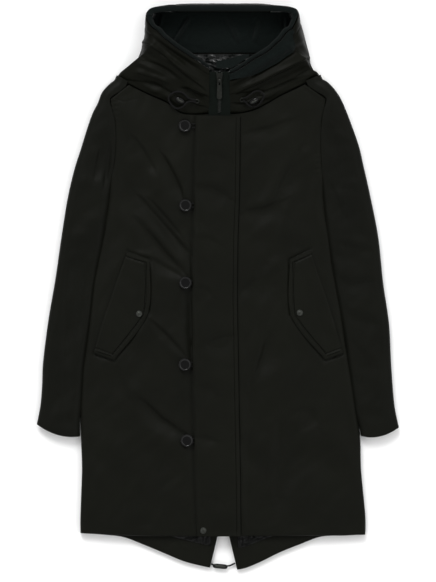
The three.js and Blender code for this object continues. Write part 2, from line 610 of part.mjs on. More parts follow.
// What shows inside the neck: a smooth body lining, and the stand behind the zip
function addNeckPieces() {
  const lining = (z, wave) => (u, v) => {
    const ripple = wave * Math.sin(7 * u * Math.PI);
    return [mix(-62, 104, u), mix(372, 443, v), z + ripple];
  };
  addPiece("neck_lining", wall(lining(12.4, 0.7), lining(10.5, 0), 9, 3), SHINY, 0.35);
  const stand = (lift) => (u, v) => {
    const x = mix(-2, 60, u);
    const low = 414.4 + 20 * smooth((x - 22) / 40);
    const high = 429 + 12 * smooth(x / 60);
    return [x, mix(low, high, v), 43 - 6 * v + 3 * u + lift];
  };
  addPiece("collar_stand", wall(stand(0), stand(-3), 6, 2), FLEECE);
}

// Zip tapes from the collar down under the placket
function zipHeight(y) {
  const rise = clamp01((y - 329) / (ZIP_TOP_Y - 329));
  return frontTop(CENTRE_FRONT_X, Math.min(y, 326)) + ZIP_LIFT + 18 * rise;
}

function addZipTape(name, from, to) {
  const bends = [ZIP_TOP_Y, 329, 318, 160, -60, -220, -400];
  const rows = bends.length - 1;
  const y = (v) => bends[Math.round(v * rows)];
  const at = (lift) => (u, v) => [mix(from, to, u), y(v), zipHeight(y(v)) + lift];
  addPiece(name, wall(at(ZIP_TAPE), at(0), 1, rows), TAPE, 0.7);
}

// A rounded plate drawn in plan and extruded upward, laid on a slope at a place
function plate(outline, depth) {
  const bevel = 0.5;
  return new THREE.ExtrudeGeometry(outline, {
    depth: depth - 2 * bevel, bevelEnabled: true, bevelThickness: bevel, bevelSize: bevel, bevelSegments: 1,
    curveSegments: 5,
  });
}

function roundedOutline(halfTop, halfBottom, top, bottom, radius) {
  const shape = new THREE.Shape();
  shape.moveTo(-halfTop + radius, top);
  shape.quadraticCurveTo(-halfTop, top, -halfTop, top - radius);
  shape.lineTo(-halfBottom, bottom + halfBottom);
  shape.absarc(0, bottom + halfBottom, halfBottom, Math.PI, 2 * Math.PI, false);
  shape.lineTo(halfTop, top - radius);
  shape.quadraticCurveTo(halfTop, top, halfTop - radius, top);
  shape.closePath();
  return shape;
}

const ZIP_SLOPE = Math.atan2(18, ZIP_TOP_Y - 329);
const PULL_REST_TILT = 0.085;
const PULL_BAR = 1.5;
const PULL_THICKNESS = 2.2;
const BRIDGE_CLEARANCE = 2.3;
const SLIDER_THICKNESS = 2.6;

// Slider, bridge and pull share a frame whose origin is the pull's hinge line, tilted with the zip
function addSliderAndPull() {
  const hardware = new THREE.Group();
  const above = ZIP_TAPE + SLIDER_THICKNESS + BRIDGE_CLEARANCE + 0.5;
  hardware.position.set(PULL_X, PULL_HINGE_Y, zipHeight(PULL_HINGE_Y) + above / Math.cos(ZIP_SLOPE));
  hardware.rotation.x = ZIP_SLOPE;
  parka.add(hardware);
  const sliderTop = -BRIDGE_CLEARANCE;
  const sliderPlate = plate(roundedOutline(6, 4.2, 13, -5, 2), SLIDER_THICKNESS);
  const slider = addPiece("zip_slider", sliderPlate, TRIM, 0.35, 0.6);
  slider.position.z = sliderTop - SLIDER_THICKNESS + 0.5;
  const arch = new THREE.Shape();
  const wide = BRIDGE_CLEARANCE + 1.3;
  arch.moveTo(-wide, sliderTop + 0.3);
  arch.lineTo(-wide, BRIDGE_CLEARANCE + 0.4);
  arch.lineTo(-BRIDGE_CLEARANCE, wide);
  arch.lineTo(BRIDGE_CLEARANCE, wide);
  arch.lineTo(wide, BRIDGE_CLEARANCE + 0.4);
  arch.lineTo(wide, sliderTop + 0.3);
  arch.lineTo(BRIDGE_CLEARANCE, sliderTop + 0.3);
  arch.lineTo(BRIDGE_CLEARANCE, BRIDGE_CLEARANCE - 0.2);
  arch.lineTo(-BRIDGE_CLEARANCE, BRIDGE_CLEARANCE - 0.2);
  arch.lineTo(-BRIDGE_CLEARANCE, sliderTop + 0.3);
  arch.closePath();
  const bridgeWidth = 2.2;
  const geometry = new THREE.ExtrudeGeometry(arch, { depth: bridgeWidth, bevelEnabled: false });
  geometry.translate(0, 0, -bridgeWidth / 2);
  geometry.rotateY(Math.PI / 2);
  geometry.rotateX(Math.PI / 2);
  const bridge = addPiece("zip_slider_bridge", geometry, TRIM, 0.35, 0.6);
  const pullOutline = roundedOutline(3.6, PULL_WIDTH / 2, PULL_BAR, -PULL_LENGTH, 1.2);
  const slot = new THREE.Path();
  slot.moveTo(-1.6, -9);
  slot.lineTo(1.6, -9);
  slot.lineTo(1.6, -PULL_BAR + 0.5);
  slot.lineTo(-1.6, -PULL_BAR + 0.5);
  slot.closePath();
  pullOutline.holes.push(slot);
  const pull = addPiece("zip_pull", plate(pullOutline, PULL_THICKNESS), TRIM, 0.35, 0.6);
  pull.geometry.translate(0, 0, 0.5 - PULL_THICKNESS / 2);
  pull.rotation.x = PULL_REST_TILT;
  hardware.add(slider, bridge, pull);
}

// The flap over the zip, from one free edge to its sewn edge
function placketTop(x, y) {
  const left = columnAtY(PLACKET_EDGES, "left", y);
  const right = columnAtY(PLACKET_EDGES, "right", y);
  const inward = Math.min(x - left, right - x);
  const lift = mix(1, PLACKET_LIFT, smooth(inward / 9));
  const pad = PLACKET_THICKNESS * mix(0.72, 1, roundOff(inward, 5));
  return { low: frontTop(x, y) + lift, high: frontTop(x, y) + lift + pad };
}

function addPlacket() {
  const at = (key) => (u, v) => {
    const y = mix(325, HEM_Y - 1, v);
    const left = columnAtY(PLACKET_EDGES, "left", y);
    const x = mix(left, columnAtY(PLACKET_EDGES, "right", y), crowdEnds(u, 0.6));
    return [x, y, placketTop(x, y)[key]];
  };
  addPiece("placket", wall(at("high"), at("low"), 6, 26), SHELL);
}

function flapPoint(table, u, v, lift) {
  const x = mix(column(table, "outX", v), column(table, "inX", v), u);
  const y = mix(column(table, "outY", v), column(table, "inY", v), u);
  return [x, y, frontTop(x, y) + lift];
}

function addPocketFlap(name, table) {
  const upper = (u, v) => {
    const edge = Math.min(u, 1 - u, v, 1 - v);
    return flapPoint(table, u, v, FLAP_LIFT + FLAP_THICKNESS * mix(0.75, 1, smooth(edge / 0.12)));
  };
  addPiece(name, wall(upper, (u, v) => flapPoint(table, u, v, FLAP_LIFT), 6, 8), SHELL);
}

// Turned-in hem of the fishtail and the smooth lining above it, seen below the front hem
function addTail(side, sign, hem) {
  const vent = (y) => CENTRE_BACK_X + sign * (2 + Math.max(0, VENT_TOP_Y - y) * 0.24);
  const hemPoint = (u) => ({ x: column(hem, "x", u), y: column(hem, "y", u) });
  const facing = (z) => (u, v) => {
    const p = hemPoint(mix(0.1, 0.97, u));
    const deep = 10 + 28 * smooth(u / 0.8);
    const x = p.x - sign * 1.5;
    return [sign * Math.max(sign * x, sign * vent(p.y + v * deep)), p.y + 2 + v * deep, z];
  };
  addPiece(`tail_facing_${side}`, wall(facing(BACK_TOP + 0.7), facing(BACK_TOP + 0.3), 10, 2), SHELL);
  const lining = (z) => (u, v) => {
    const p = hemPoint(mix(0.2, 0.97, u));
    const low = p.y + 2.6 + 10 + 28 * smooth((mix(0.2, 0.97, u) - 0.1) / 0.87 / 0.8);
    const y = mix(low, Math.max(low + 3, HEM_Y + 26), v);
    return [sign * Math.max(sign * (p.x - sign * 4), sign * vent(y)), y, z];
  };
  addPiece(`tail_lining_${side}`, wall(lining(BACK_TOP + 0.7), lining(BACK_TOP + 0.3), 9, 2), SHINY, 0.35);
}

// Direction out of the front at a place
function frontNormal(x, y, height) {
  const step = 3;
  const dx = (height(x + step, y) - height(x - step, y)) / (2 * step);
  const dy = (height(x, y + step) - height(x, y - step)) / (2 * step);
  return new THREE.Vector3(-dx, -dy, 1).normalize();
}

function seatOn(mesh, x, y, height, lift) {
  const n = frontNormal(x, y, height);
  mesh.quaternion.setFromUnitVectors(new THREE.Vector3(0, 0, 1), n);
  mesh.position.set(x, y, height(x, y)).addScaledVector(n, lift);
}

function turned(profile, segments) {
  const geometry = new THREE.LatheGeometry(profile.map((p) => new THREE.Vector2(p.r, p.z)), segments);
  return geometry.rotateX(Math.PI / 2);
}

const BUTTON_PROFILE = [
  { r: 0, z: 0 }, { r: 3, z: 0 }, { r: 3, z: 3.4 }, { r: BUTTON_RADIUS - 1, z: 3.6 },
  { r: BUTTON_RADIUS, z: 4.8 }, { r: BUTTON_RADIUS - 0.6, z: BUTTON_HEIGHT - 0.4 },
  { r: BUTTON_RADIUS - 1.8, z: BUTTON_HEIGHT }, { r: BUTTON_RADIUS - 3.2, z: BUTTON_HEIGHT - 1.6 },
  { r: 0, z: BUTTON_HEIGHT - 1.9 },
];
const SNAP_PROFILE = [
  { r: 0, z: 0 }, { r: SNAP_RADIUS, z: 0 }, { r: SNAP_RADIUS, z: 0.7 }, { r: SNAP_RADIUS - 1.2, z: 1.7 },
  { r: 0, z: 2.0 },
];
const EYELET_PROFILE = [
  { r: 2.2, z: 0 }, { r: 4.6, z: 0 }, { r: 4.6, z: 0.6 },
  { r: 3.4, z: 1.3 }, { r: 2.2, z: 0.8 }, { r: 2.2, z: 0 },
];

function cordAlong(points, radius, steps, sides = 8) {
  const curve = new THREE.CatmullRomCurve3(points, false, "centripetal");
  const outline = new THREE.Shape();
  for (let i = 0; i < sides; i += 1) {
    const angle = (2 * Math.PI * i) / sides;
    outline[i === 0 ? "moveTo" : "lineTo"](radius * Math.cos(angle), radius * Math.sin(angle));
  }
  outline.closePath();
  const sweep = { steps, extrudePath: curve, curveSegments: 1, bevelEnabled: false };
  return new THREE.ExtrudeGeometry(outline, sweep);
}

function addButtonsAndLoops() {
  BUTTONS.forEach((button, k) => {
    const mesh = addPiece(`button_${k + 1}`, turned(BUTTON_PROFILE, 16), TRIM, 0.25);
    seatOn(mesh, button.x, button.y, frontTop, 1.2);
    const edge = columnAtY(PLACKET_EDGES, "left", button.y) - 0.3;
    const bend = 4.9;
    const points = [
      { x: edge, y: 3.4 }, { x: button.x + 7, y: 3.9 }, { x: button.x + 1, y: bend },
      { x: button.x - 3.6, y: 3.1 }, { x: button.x - bend, y: 0 }, { x: button.x - 3.6, y: -3.1 },
      { x: button.x + 1, y: -bend }, { x: button.x + 7, y: -3.9 }, { x: edge, y: -3.4 },
    ].map((p) => new THREE.Vector3(p.x, button.y + p.y, frontTop(p.x, button.y + p.y) + 2.6));
    addPiece(`button_loop_${k + 1}`, cordAlong(points, LOOP_RADIUS, 12), TRIM, 0.8);
  });
}

function addSnaps() {
  for (const snap of SNAPS) {
    const onPlacket = (x, y) => placketTop(x, y).high;
    const onFlap = (x, y) => frontTop(x, y) + FLAP_LIFT + FLAP_THICKNESS;
    const height = snap.on === "placket" ? onPlacket : onFlap;
    const mesh = addPiece(snap.name, turned(SNAP_PROFILE, 16), TRIM, 0.4, 0.3);
    seatOn(mesh, snap.x, snap.y, height, 0.35);
  }
}

// The outer face of the hood over a place, found by walking its stations
function hoodHeight(table, sign, x, y) {
  let best = { distance: Infinity, z: 0 };
  for (let u = 0; u <= 0.4; u += 0.01) {
    for (let w = 0.02; w <= 1; w += 0.02) {
      const p = hoodPoint(table, u, w, 0, sign, true);
      const distance = Math.hypot(p[0] - x, p[1] - y);
      if (distance < best.distance) best = { distance, z: p[2] };
    }
  }
  return best.z;
}

const HOOD_TRIMS = [
  {
    side: "right", table: HOOD_RIGHT, sign: -1,
    eyelet: { x: -39, y: 352 },
    lock: { x: -71, y: 354, turn: -0.5, lift: 1 },
    route: [
      { x: -41, y: 354 }, { x: -49, y: 355.5 }, { x: -56, y: 358.5 }, { x: -65, y: 367 },
      { x: -76, y: 370 }, { x: -87, y: 366 }, { x: -93, y: 358 }, { x: -88, y: 346 },
      { x: -78, y: 338.5 }, { x: -66, y: 341.5 }, { x: -57, y: 350 }, { x: -49, y: 351.5 },
      { x: -41, y: 350 },
    ],
  },
  {
    side: "left", table: HOOD_LEFT, sign: 1,
    eyelet: { x: 46, y: 355 },
    lock: { x: 69, y: 353, turn: 0.5, lift: 1.6 },
    route: [
      { x: 48, y: 357 }, { x: 54, y: 359 }, { x: 62, y: 364 }, { x: 72, y: 370.5 }, { x: 82, y: 370 },
      { x: 88, y: 363 }, { x: 84, y: 353 }, { x: 76, y: 344 }, { x: 66, y: 341.5 }, { x: 57, y: 346 },
      { x: 52, y: 351.5 }, { x: 48, y: 353 },
    ],
  },
];
const CORD_LIFT = 3.9;

function addHoodTrims() {
  for (const trim of HOOD_TRIMS) {
    const height = (x, y) => hoodHeight(trim.table, trim.sign, x, y);
    const eyelet = addPiece(`hood_eyelet_${trim.side}`, turned(EYELET_PROFILE, 10), TRIM, 0.35, 0.4);
    seatOn(eyelet, trim.eyelet.x, trim.eyelet.y, height, 1.15);
    const top = Math.max(...trim.route.map((p) => height(p.x, p.y)));
    const points = trim.route.map((p) => {
      const z = mix(height(p.x, p.y), top, 0.3) + CORD_LIFT;
      return new THREE.Vector3(p.x, p.y, z);
    });
    addPiece(`hood_cord_${trim.side}`, cordAlong(points, CORD_RADIUS, 22), TRIM, 0.8);
    const lockShape = new THREE.Shape();
    lockShape.absellipse(0, 0, 10, 5.6, 0, 2 * Math.PI, false, 0);
    const lock = addPiece(`hood_cord_lock_${trim.side}`, plate(lockShape, 7), TRIM, 0.25);
    seatOn(lock, trim.lock.x, trim.lock.y, height, trim.lock.lift);
    lock.rotateZ(trim.lock.turn);
  }
}

// The drawcord between the two points of the fishtail, and its lock, on the floor
const HEM_CORD_ROUTE = [
  { x: -12.1, y: -527.2 }, { x: -7, y: -529.5 }, { x: 0, y: -531 }, { x: 8, y: -531.5 },
  { x: 16, y: -531.5 }, { x: 24, y: -530.5 }, { x: 29, y: -528 }, { x: 33.4, y: -526.2 },
];
const HEM_CORD_Z = 5;

function addHemCord() {
  const points = HEM_CORD_ROUTE.map((p) => new THREE.Vector3(p.x, p.y, HEM_CORD_Z));
  addPiece("hem_cord", cordAlong(points, CORD_RADIUS, 12), TRIM, 0.8);
  const bar = new THREE.Shape();
  bar.absellipse(0, 0, 13, 4.6, 0, 2 * Math.PI, false, 0);
  const lock = addPiece("hem_cord_lock", plate(bar, 4.6), TRIM, 0.25);
  lock.position.set(4, -531.3, HEM_CORD_Z + CORD_RADIUS + 0.9);
}

addBack("back_right", SIDE_RIGHT, TAIL_RIGHT, -1);
addBack("back_left", SIDE_LEFT, TAIL_LEFT, 1);
addFront("front_right", SIDE_RIGHT, NECK_RIGHT, CENTRE_FRONT_X - SEAM_GAP, -1);
addFront("front_left", SIDE_LEFT, NECK_LEFT, CENTRE_FRONT_X + SEAM_GAP, 1);
addSleeve("sleeve_right", SLEEVE_RIGHT);
addSleeve("sleeve_left", SLEEVE_LEFT);
addHoodSide("hood_side_right", HOOD_RIGHT, -1);
addHoodSide("hood_side_left", HOOD_LEFT, 1);
addCrown();
const liningStart = (u) => mix(0.62, 0.14, smooth((u - 0.55) / 0.12));
const liningDepth = HOOD_WALL + LINING_GAP;
const HOOD_LINING = {
  outer: liningDepth, inner: liningDepth + LINING_WALL, from: liningStart, fromU: 0, toU: 1,
  columns: 17, rows: 4, colour: FLEECE, raised: false,
};
addHoodLayer("hood_lining_right", HOOD_RIGHT, -1, HOOD_LINING);
addHoodLayer("hood_lining_left", HOOD_LEFT, 1, HOOD_LINING);
addHoodLayer("hood_facing_left", HOOD_LEFT, 1, {
  outer: -2.8, inner: -1, fromU: 0, toU: 10 / 17,
  columns: 10, rows: 3, colour: FLEECE, raised: true,
  from: (u) => mix(0.86, 0.7, smooth(u / 0.2)) + 0.2 * smooth((u - 0.45) / 0.13),
});
addBinding();
addNeckPieces();
addZipTape("zip_tape_right", -17.2, 3.1);
addZipTape("zip_tape_left", 3.9, 24.2);
addSliderAndPull();
addPlacket();
addPocketFlap("pocket_flap_right", FLAP_RIGHT);
addPocketFlap("pocket_flap_left", FLAP_LEFT);
addTail("right", -1, TAIL_RIGHT);
addTail("left", 1, TAIL_LEFT);
addButtonsAndLoops();
addSnaps();
addHoodTrims();
addHemCord();

export default parka;
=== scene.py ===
# A hooded parka laid flat on its back: camera, light, cloth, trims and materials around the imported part.
# Shapes are worked out in millimetres in the row frame, and meshes are made in metres.
import math

import bmesh
import bpy
import numpy as np
from mathutils import Matrix, Vector


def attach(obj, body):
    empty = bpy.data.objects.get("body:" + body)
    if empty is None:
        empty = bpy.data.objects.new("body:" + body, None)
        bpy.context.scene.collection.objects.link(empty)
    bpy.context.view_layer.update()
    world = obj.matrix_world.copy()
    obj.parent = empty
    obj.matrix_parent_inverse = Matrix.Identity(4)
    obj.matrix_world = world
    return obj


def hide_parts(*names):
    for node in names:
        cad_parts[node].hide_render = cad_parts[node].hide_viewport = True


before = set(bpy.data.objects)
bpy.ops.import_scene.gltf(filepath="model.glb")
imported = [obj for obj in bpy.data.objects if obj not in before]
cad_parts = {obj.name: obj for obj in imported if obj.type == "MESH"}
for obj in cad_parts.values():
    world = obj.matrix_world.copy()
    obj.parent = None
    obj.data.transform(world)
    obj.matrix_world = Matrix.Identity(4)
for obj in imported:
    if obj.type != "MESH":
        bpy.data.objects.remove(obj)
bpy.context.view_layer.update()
COAT = "coat"
MM = 0.001

# Driving sizes, as in the solids
SEAM_GAP = 0.3
BACK_TOP = 10
FRONT_BOTTOM = 10.9
FRONT_PAD = 11.5
EDGE_ROUND = 20
ARMHOLE_ROUND = 6
UNDERARM_Y = 215
EDGE_WALL = 1.6
FOLD_SHARE = 0.35
SLEEVE_HEIGHT = 25
SLEEVE_WALL = 11
SLEEVE_SLIT = 1.2
SLEEVE_GAP = 0.8
SLEEVE_TUCK = 3.8
SHOULDER_REACH = 7
ZIP_LAP = 2.2
CROWN_LAP = 1.6
CREASE_DEPTH = 2.3
CREASE_STEEP = 1.0
CREASE_GENTLE = 3.4
FLAP_GROOVE = 2.6
HOOD_WALL = 8
LINING_GAP = 1
LINING_WALL = 2
CENTRE_FRONT_X = 4
CENTRE_BACK_X = 11
VENT_TOP_Y = -429
HEM_Y = -472
FLAP_THICKNESS = 3
FLAP_LIFT = 0.9
PLACKET_THICKNESS = 3.6
PLACKET_LIFT = 3.2
ZIP_LIFT = 1.1
ZIP_TAPE = 1
BUTTON_RADIUS = 12
BUTTON_HEIGHT = 7.6
SNAP_RADIUS = 6.2
ZIP_TOP_Y = 407
CORD_RADIUS = 1.6
LOOP_RADIUS = 1.2
CORD_LIFT = 3.9
HEM_CORD_Z = 5
PHOTO_CENTRE = (0.8, -7.6)
PHOTO_HEIGHT = 1105.8


def table(names, rows):
    """Named columns of numbers, in millimetres."""
    return dict(zip(names.split(), np.array(rows, float).T))


SIDE_RIGHT = table("x y", [
    (-169, 384), (-188.5, 369.5), (-204.5, 356), (-202, 336), (-197, 314), (-195, 274), (-198, 241),
    (-202, 213), (-212, 141), (-218, 101), (-229, 48), (-237, 8), (-242, -40), (-250, -106), (-258, -160),
    (-261, -226), (-260, -283), (-258, -348), (-261, -433), (-261, -468),
])
SIDE_LEFT = table("x y", [
    (166, 385), (188.5, 370), (206, 357), (204, 338), (200, 315), (198, 266), (199, 241), (200, 213),
    (206, 141), (213, 101), (219, 48), (226, 8), (235, -40), (244, -106), (253, -160), (263, -226),
    (271, -283), (273, -348), (281, -433), (281, -471),
])
NECK_RIGHT = table("x y", [
    (-169, 384), (-159, 378.5), (-128, 363.5), (-96, 349), (-70, 330), (-43, 327), (-18, 328), (3.7, 328),
])
NECK_LEFT = table("x y", [
    (166, 385), (151, 377), (120, 362.5), (94, 347.5), (71, 336), (48, 330), (25, 328), (4.3, 328),
])
TAIL_RIGHT = table("x y", [
    (-261, -467), (-223, -470), (-180, -475), (-140, -490), (-104, -505), (-66, -521), (-33, -530),
    (-14, -534),
])
TAIL_LEFT = table("x y", [
    (281, -471), (242, -473), (198, -475), (157, -490), (120, -505), (88, -521), (58, -534), (40, -538),
])
SLEEVE_RIGHT = table("outX outY inX inY", [
    (-192, 396, -173, 383.5), (-206, 386, -189, 371), (-220, 370, -207, 357), (-228, 350, -203, 336),
    (-238, 330, -198, 314), (-248, 302, -196, 283), (-261, 260, -198, 245), (-273, 222, -203, 207),
    (-286, 165, -211, 150), (-298, 89, -222, 80), (-309, 13, -237, 8), (-322, -63, -246, -70),
    (-332, -142, -257, -148), (-334, -186, -260, -196), (-337, -224, -262, -236), (-344, -261, -261, -284),
])
SLEEVE_LEFT = table("outX outY inX inY", [
    (196, 397, 170, 384.5), (208, 391, 189, 372), (221, 378, 209, 358), (233, 361, 205, 338),
    (244, 337, 201, 315), (254, 311, 199, 281), (269, 268, 200, 240), (278, 229, 201, 205),
    (291, 171, 207, 141), (306, 93, 216, 74), (315, 8, 227, 4), (326, -68, 241, -70),
    (330, -142, 253, -148), (333, -186, 260, -196), (337, -228, 266, -243), (345, -267, 272, -283),
])
HOOD_RIGHT = table("x y z rimX rimY rimZ", [
    (-18, 330, 24, -18, 412, 48), (-43, 329, 24, -33, 423, 52), (-70, 332, 24, -47, 431, 54),
    (-96, 352, 24, -58, 438, 55), (-128, 366, 23, -71, 446, 56), (-159, 381, 20, -85, 456, 56),
    (-178, 391, 14, -96, 465, 56), (-190, 402, 4, -104, 471, 56), (-174, 412, 0, -110, 478, 55),
    (-158, 426, 0, -116, 484, 54), (-148, 445, 0, -123, 488, 53), (-143, 462, 0, -129, 495, 52),
    (-139, 483, 0, -133, 503, 50), (-137, 504, 0, -135, 511, 48), (-134, 521, 0, -133, 520, 46),
    (-125, 531, 0, -125, 528, 44), (-106, 536, 0, -107, 532, 42), (-79, 538, 0, -79, 534, 41),
])
HOOD_LEFT = table("x y z rimX rimY rimZ", [
    (25, 330, 24, 25, 403, 46), (48, 332, 24, 39, 410, 50), (71, 338, 24, 54, 419, 53),
    (94, 350, 24, 67, 428, 55), (120, 365, 23, 82, 436, 56), (151, 380, 20, 98, 446, 56),
    (172, 390, 14, 110, 457, 56), (193, 403, 4, 120, 466, 56), (184, 412, 0, 127, 475, 55),
    (177, 426, 0, 133, 482, 54), (175, 443, 0, 141, 487, 53), (170, 461, 0, 146, 495, 52),
    (165, 481, 0, 150, 503, 50), (159, 502, 0, 152, 511, 48), (154, 519, 0, 152, 520, 46),
    (146, 531, 0, 145, 528, 44), (126, 536, 0, 127, 532, 42), (100, 538, 0, 100, 534, 41),
])
PLACKET_EDGES = table("left right y", [
    (-41, 43, 326), (-44, 42, 241), (-44, 41, 165), (-47, 38, 89), (-48, 37, -25), (-47, 39, -139),
    (-45, 41, -253), (-42, 43, -367), (-39, 44, -471),
])
FLAP_RIGHT = table("outX outY inX inY", [
    (-172, 66, -130, 52), (-215, -55, -133, -51), (-235, -124, -197, -138),
])
FLAP_LEFT = table("outX outY inX inY", [
    (176, 70, 138, 52), (216, -49, 140, -54), (238, -124, 204, -137),
])
BUTTONS = table("x y", [
    (-62, 306), (-61, 155), (-61, 8), (-62, -147), (-58, -291),
])
FOLDS = table("x1 y1 x2 y2 width height", [
    (-96, 274, -62, 172, 15, 3.0), (-160, 293, -115, 190, 16, 2.4), (-115, 190, -52, 64, 15, 2.8),
    (-147, 165, -64, 36, 14, 3.2), (-132, -57, -66, -133, 14, 3.6), (-172, -182, -60, -276, 16, 3.0),
    (145, 274, 94, 160, 18, 2.4), (120, 52, 43, -19, 17, 2.4), (77, -91, 67, -167, 15, 2.4),
    (62, 158, 138, 156, 16, 1.8), (-233, 262, -214, 165, 11, 2.6), (-274, 165, -276, -210, 13, 2.4),
    (214, 78, 292, 58, 14, 2.8), (222, 20, 262, -18, 13, 2.2), (224, 168, 243, 20, 13, 2.4),
])
HOOD_FOLDS = table("x1 y1 x2 y2 width height", [
    (-138, 462, -28, 376, 12, 5.5), (-124, 479, -20, 410, 8, 3.4), (-155, 405, -96, 386, 9, 3.2),
    (-74, 394, -20, 360, 9, 3.0), (-160, 392, -70, 348, 12, 3.6), (41, 367, 172, 432, 12, 5.5),
    (30, 388, 150, 463, 8, 3.4), (60, 350, 175, 400, 12, 3.6),
])
CROWN = table("outY outZ inY inZ", [
    (430, 0, 430, 8), (470, 0, 470, 8), (508, 0, 505, 8), (529, 0, 520, 8.8), (536.5, 3, 526.5, 12),
    (539, 11, 530, 17), (538.5, 21, 530, 25), (536.6, 31, 528.4, 32), (534.6, 39, 526.6, 39),
])
HEM_CORD_ROUTE = table("x y", [
    (-12.1, -527.2), (-7, -529.5), (0, -531), (8, -531.5), (16, -531.5), (24, -530.5), (29, -528),
    (33.4, -526.2),
])

# Creases of the cloth, as lines in plan with a half width and a depth
FRONT_CREASES = [
    ([(-159, 284), (-140, 256), (-119, 222)], 4, 1.6), ([(-104, 250), (-86, 216), (-71, 184), (-66, 165)], 4.5, 3.0),
    ([(-147, 170), (-121, 138), (-95, 108), (-70, 80), (-50, 61)], 5, 3.2), ([(-128, 165), (-100, 132), (-71, 99)], 4, 2.0),
    ([(-152, 127), (-128, 98), (-105, 70), (-84, 48), (-64, 30)], 5, 3.0), ([(-128, 56), (-100, 38), (-71, 23)], 3.5, 2.0),
    ([(-57, 2), (-52, -40), (-50, -91), (-49, -148)], 4, 2.2), ([(-124, -66), (-92, -97), (-64, -127)], 3.5, 2.6),
    ([(-143, -215), (-109, -250), (-62, -281)], 5, 3.0), ([(-204, -139), (-190, -170), (-176, -196)], 9, 1.1),
    ([(61, 294), (100, 300), (137, 317)], 5, 1.8), ([(52, 142), (90, 146), (118, 161)], 7, 2.6),
    ([(118, 184), (140, 222), (156, 260)], 8, 2.4), ([(43, -10), (80, 13), (90, 51)], 8, 2.2),
    ([(75, -162), (88, -130), (94, -101)], 5, 2.3), ([(60, -205), (61, -320), (58, -440)], 11, 2.2),
    ([(118, -253), (120, -330), (113, -395)], 12, 2.6), ([(160, -235), (175, -240), (190, -262)], 9, 1.8),
    ([(-100, -330), (-130, -380), (-180, -420)], 12, 1.2), ([(-180, 240), (-176, 180), (-188, 120)], 14, 1.2),
    ([(-42, 322), (-45, 241), (-45.5, 165), (-48.5, 89), (-49.5, -25), (-48.5, -139), (-46.5, -253), (-43.5, -367),
      (-40.5, -465)], 3.0, 1.5),
]
PLACKET_CREASES = [
    ([(-39, 190), (-10, 184), (18, 171)], 8, 1.7), ([(-24, -110), (10, -100), (33, -91)], 8, 1.9),
    ([(-40, 92), (-18, 90), (0, 84)], 6, 0.8), ([(-44, -285), (-25, -286), (-5, -291)], 4, 1.2),
    ([(-40, -2), (-25, -6), (-10, -16)], 6, 1.0), ([(-36, 250), (-8, 247), (20, 240)], 9, 0.7),
    ([(-30, -400), (-10, -404), (10, -412)], 8, 0.7), ([(-38, -190), (-20, -193), (-5, -200)], 7, 0.8),
]
SLEEVE_CREASES = [
    ([(-203, 272), (-207, 230), (-216, 184)], 4.5, 2.8), ([(-223, 260), (-228, 230), (-235, 203)], 4, 2.0),
    ([(-275, 165), (-284, 20), (-287, -120), (-290, -240)], 9, 1.8), ([(-250, 20), (-262, -40), (-268, -110)], 8, 1.4),
    ([(-300, -60), (-310, -140), (-316, -220)], 9, 1.1), ([(222, 20), (252, 4), (284, 12)], 7, 1.8),
    ([(230, 84), (262, 72), (298, 68)], 6, 1.7), ([(216, 190), (232, 150), (240, 90)], 6, 1.7),
    ([(236, -40), (262, -60), (300, -70)], 8, 1.3), ([(262, -110), (285, -150), (300, -220)], 10, 1.3),
    ([(216, 300), (226, 250), (232, 200)], 8, 1.3),
]
HOOD_SMALL_FOLDS = table("x1 y1 x2 y2 width height", [
    (-128, 470, -60, 415, 5, 1.6), (-140, 440, -60, 392, 5, 1.5), (-100, 432, -36, 394, 4, 1.2),
    (-150, 424, -100, 404, 5, 1.4), (-60, 380, -30, 366, 4, 1.2), (48, 378, 150, 424, 5, 1.6),
    (60, 404, 130, 446, 5, 1.4), (70, 366, 150, 396, 5, 1.3), (36, 350, 70, 352, 4, 1.2),
])
LINING_FOLDS = table("x1 y1 x2 y2 width height", [
    (-122, 514, -120, 500, 4, 1.4), (-105, 518, -110, 496, 4, 1.3), (-54, 510, -80, 468, 5, 1.8),
    (131, 514, 130, 482, 4, 1.4), (20, 512, 40, 470, 6, 1.2), (80, 506, 70, 470, 6, 1.2),
])
BODY_SEAMS = [
    {"line": [(-200, 356), (-196, 330), (-192, 300), (-190, 262), (-193, 236), (-197, 215)], "depth": 0.6,
     "width": 1.6, "pucker": 0.3, "seed": 1},
    {"line": [(201, 357), (199, 330), (195, 300), (193, 262), (194, 236), (195, 215)], "depth": 0.6,
     "width": 1.6, "pucker": 0.3, "seed": 2},
    {"line": [(-196, 358), (-178, 352), (-150, 358)], "depth": 0.5, "width": 1.6, "pucker": 0.2, "seed": 3},
]
HOOD_TRIMS = [
    {
        "side": "right", "eyelet": (-39, 352), "lock": (-71, 354, -0.5, 1.0),
        "route": [
            (-41, 354), (-49, 355.5), (-56, 358.5), (-65, 367), (-76, 370), (-87, 366), (-93, 358), (-88, 346),
            (-78, 338.5), (-66, 341.5), (-57, 350), (-49, 351.5), (-41, 350),
        ],
        "rows": HOOD_RIGHT, "sign": -1,
    },
    {
        "side": "left", "eyelet": (46, 355), "lock": (69, 353, 0.5, 1.6),
        "route": [
            (48, 357), (54, 359), (62, 364), (72, 370.5), (82, 370), (88, 363), (84, 353), (76, 344),
            (66, 341.5), (57, 346), (52, 351.5), (48, 353),
        ],
        "rows": HOOD_LEFT, "sign": 1,
    },
]
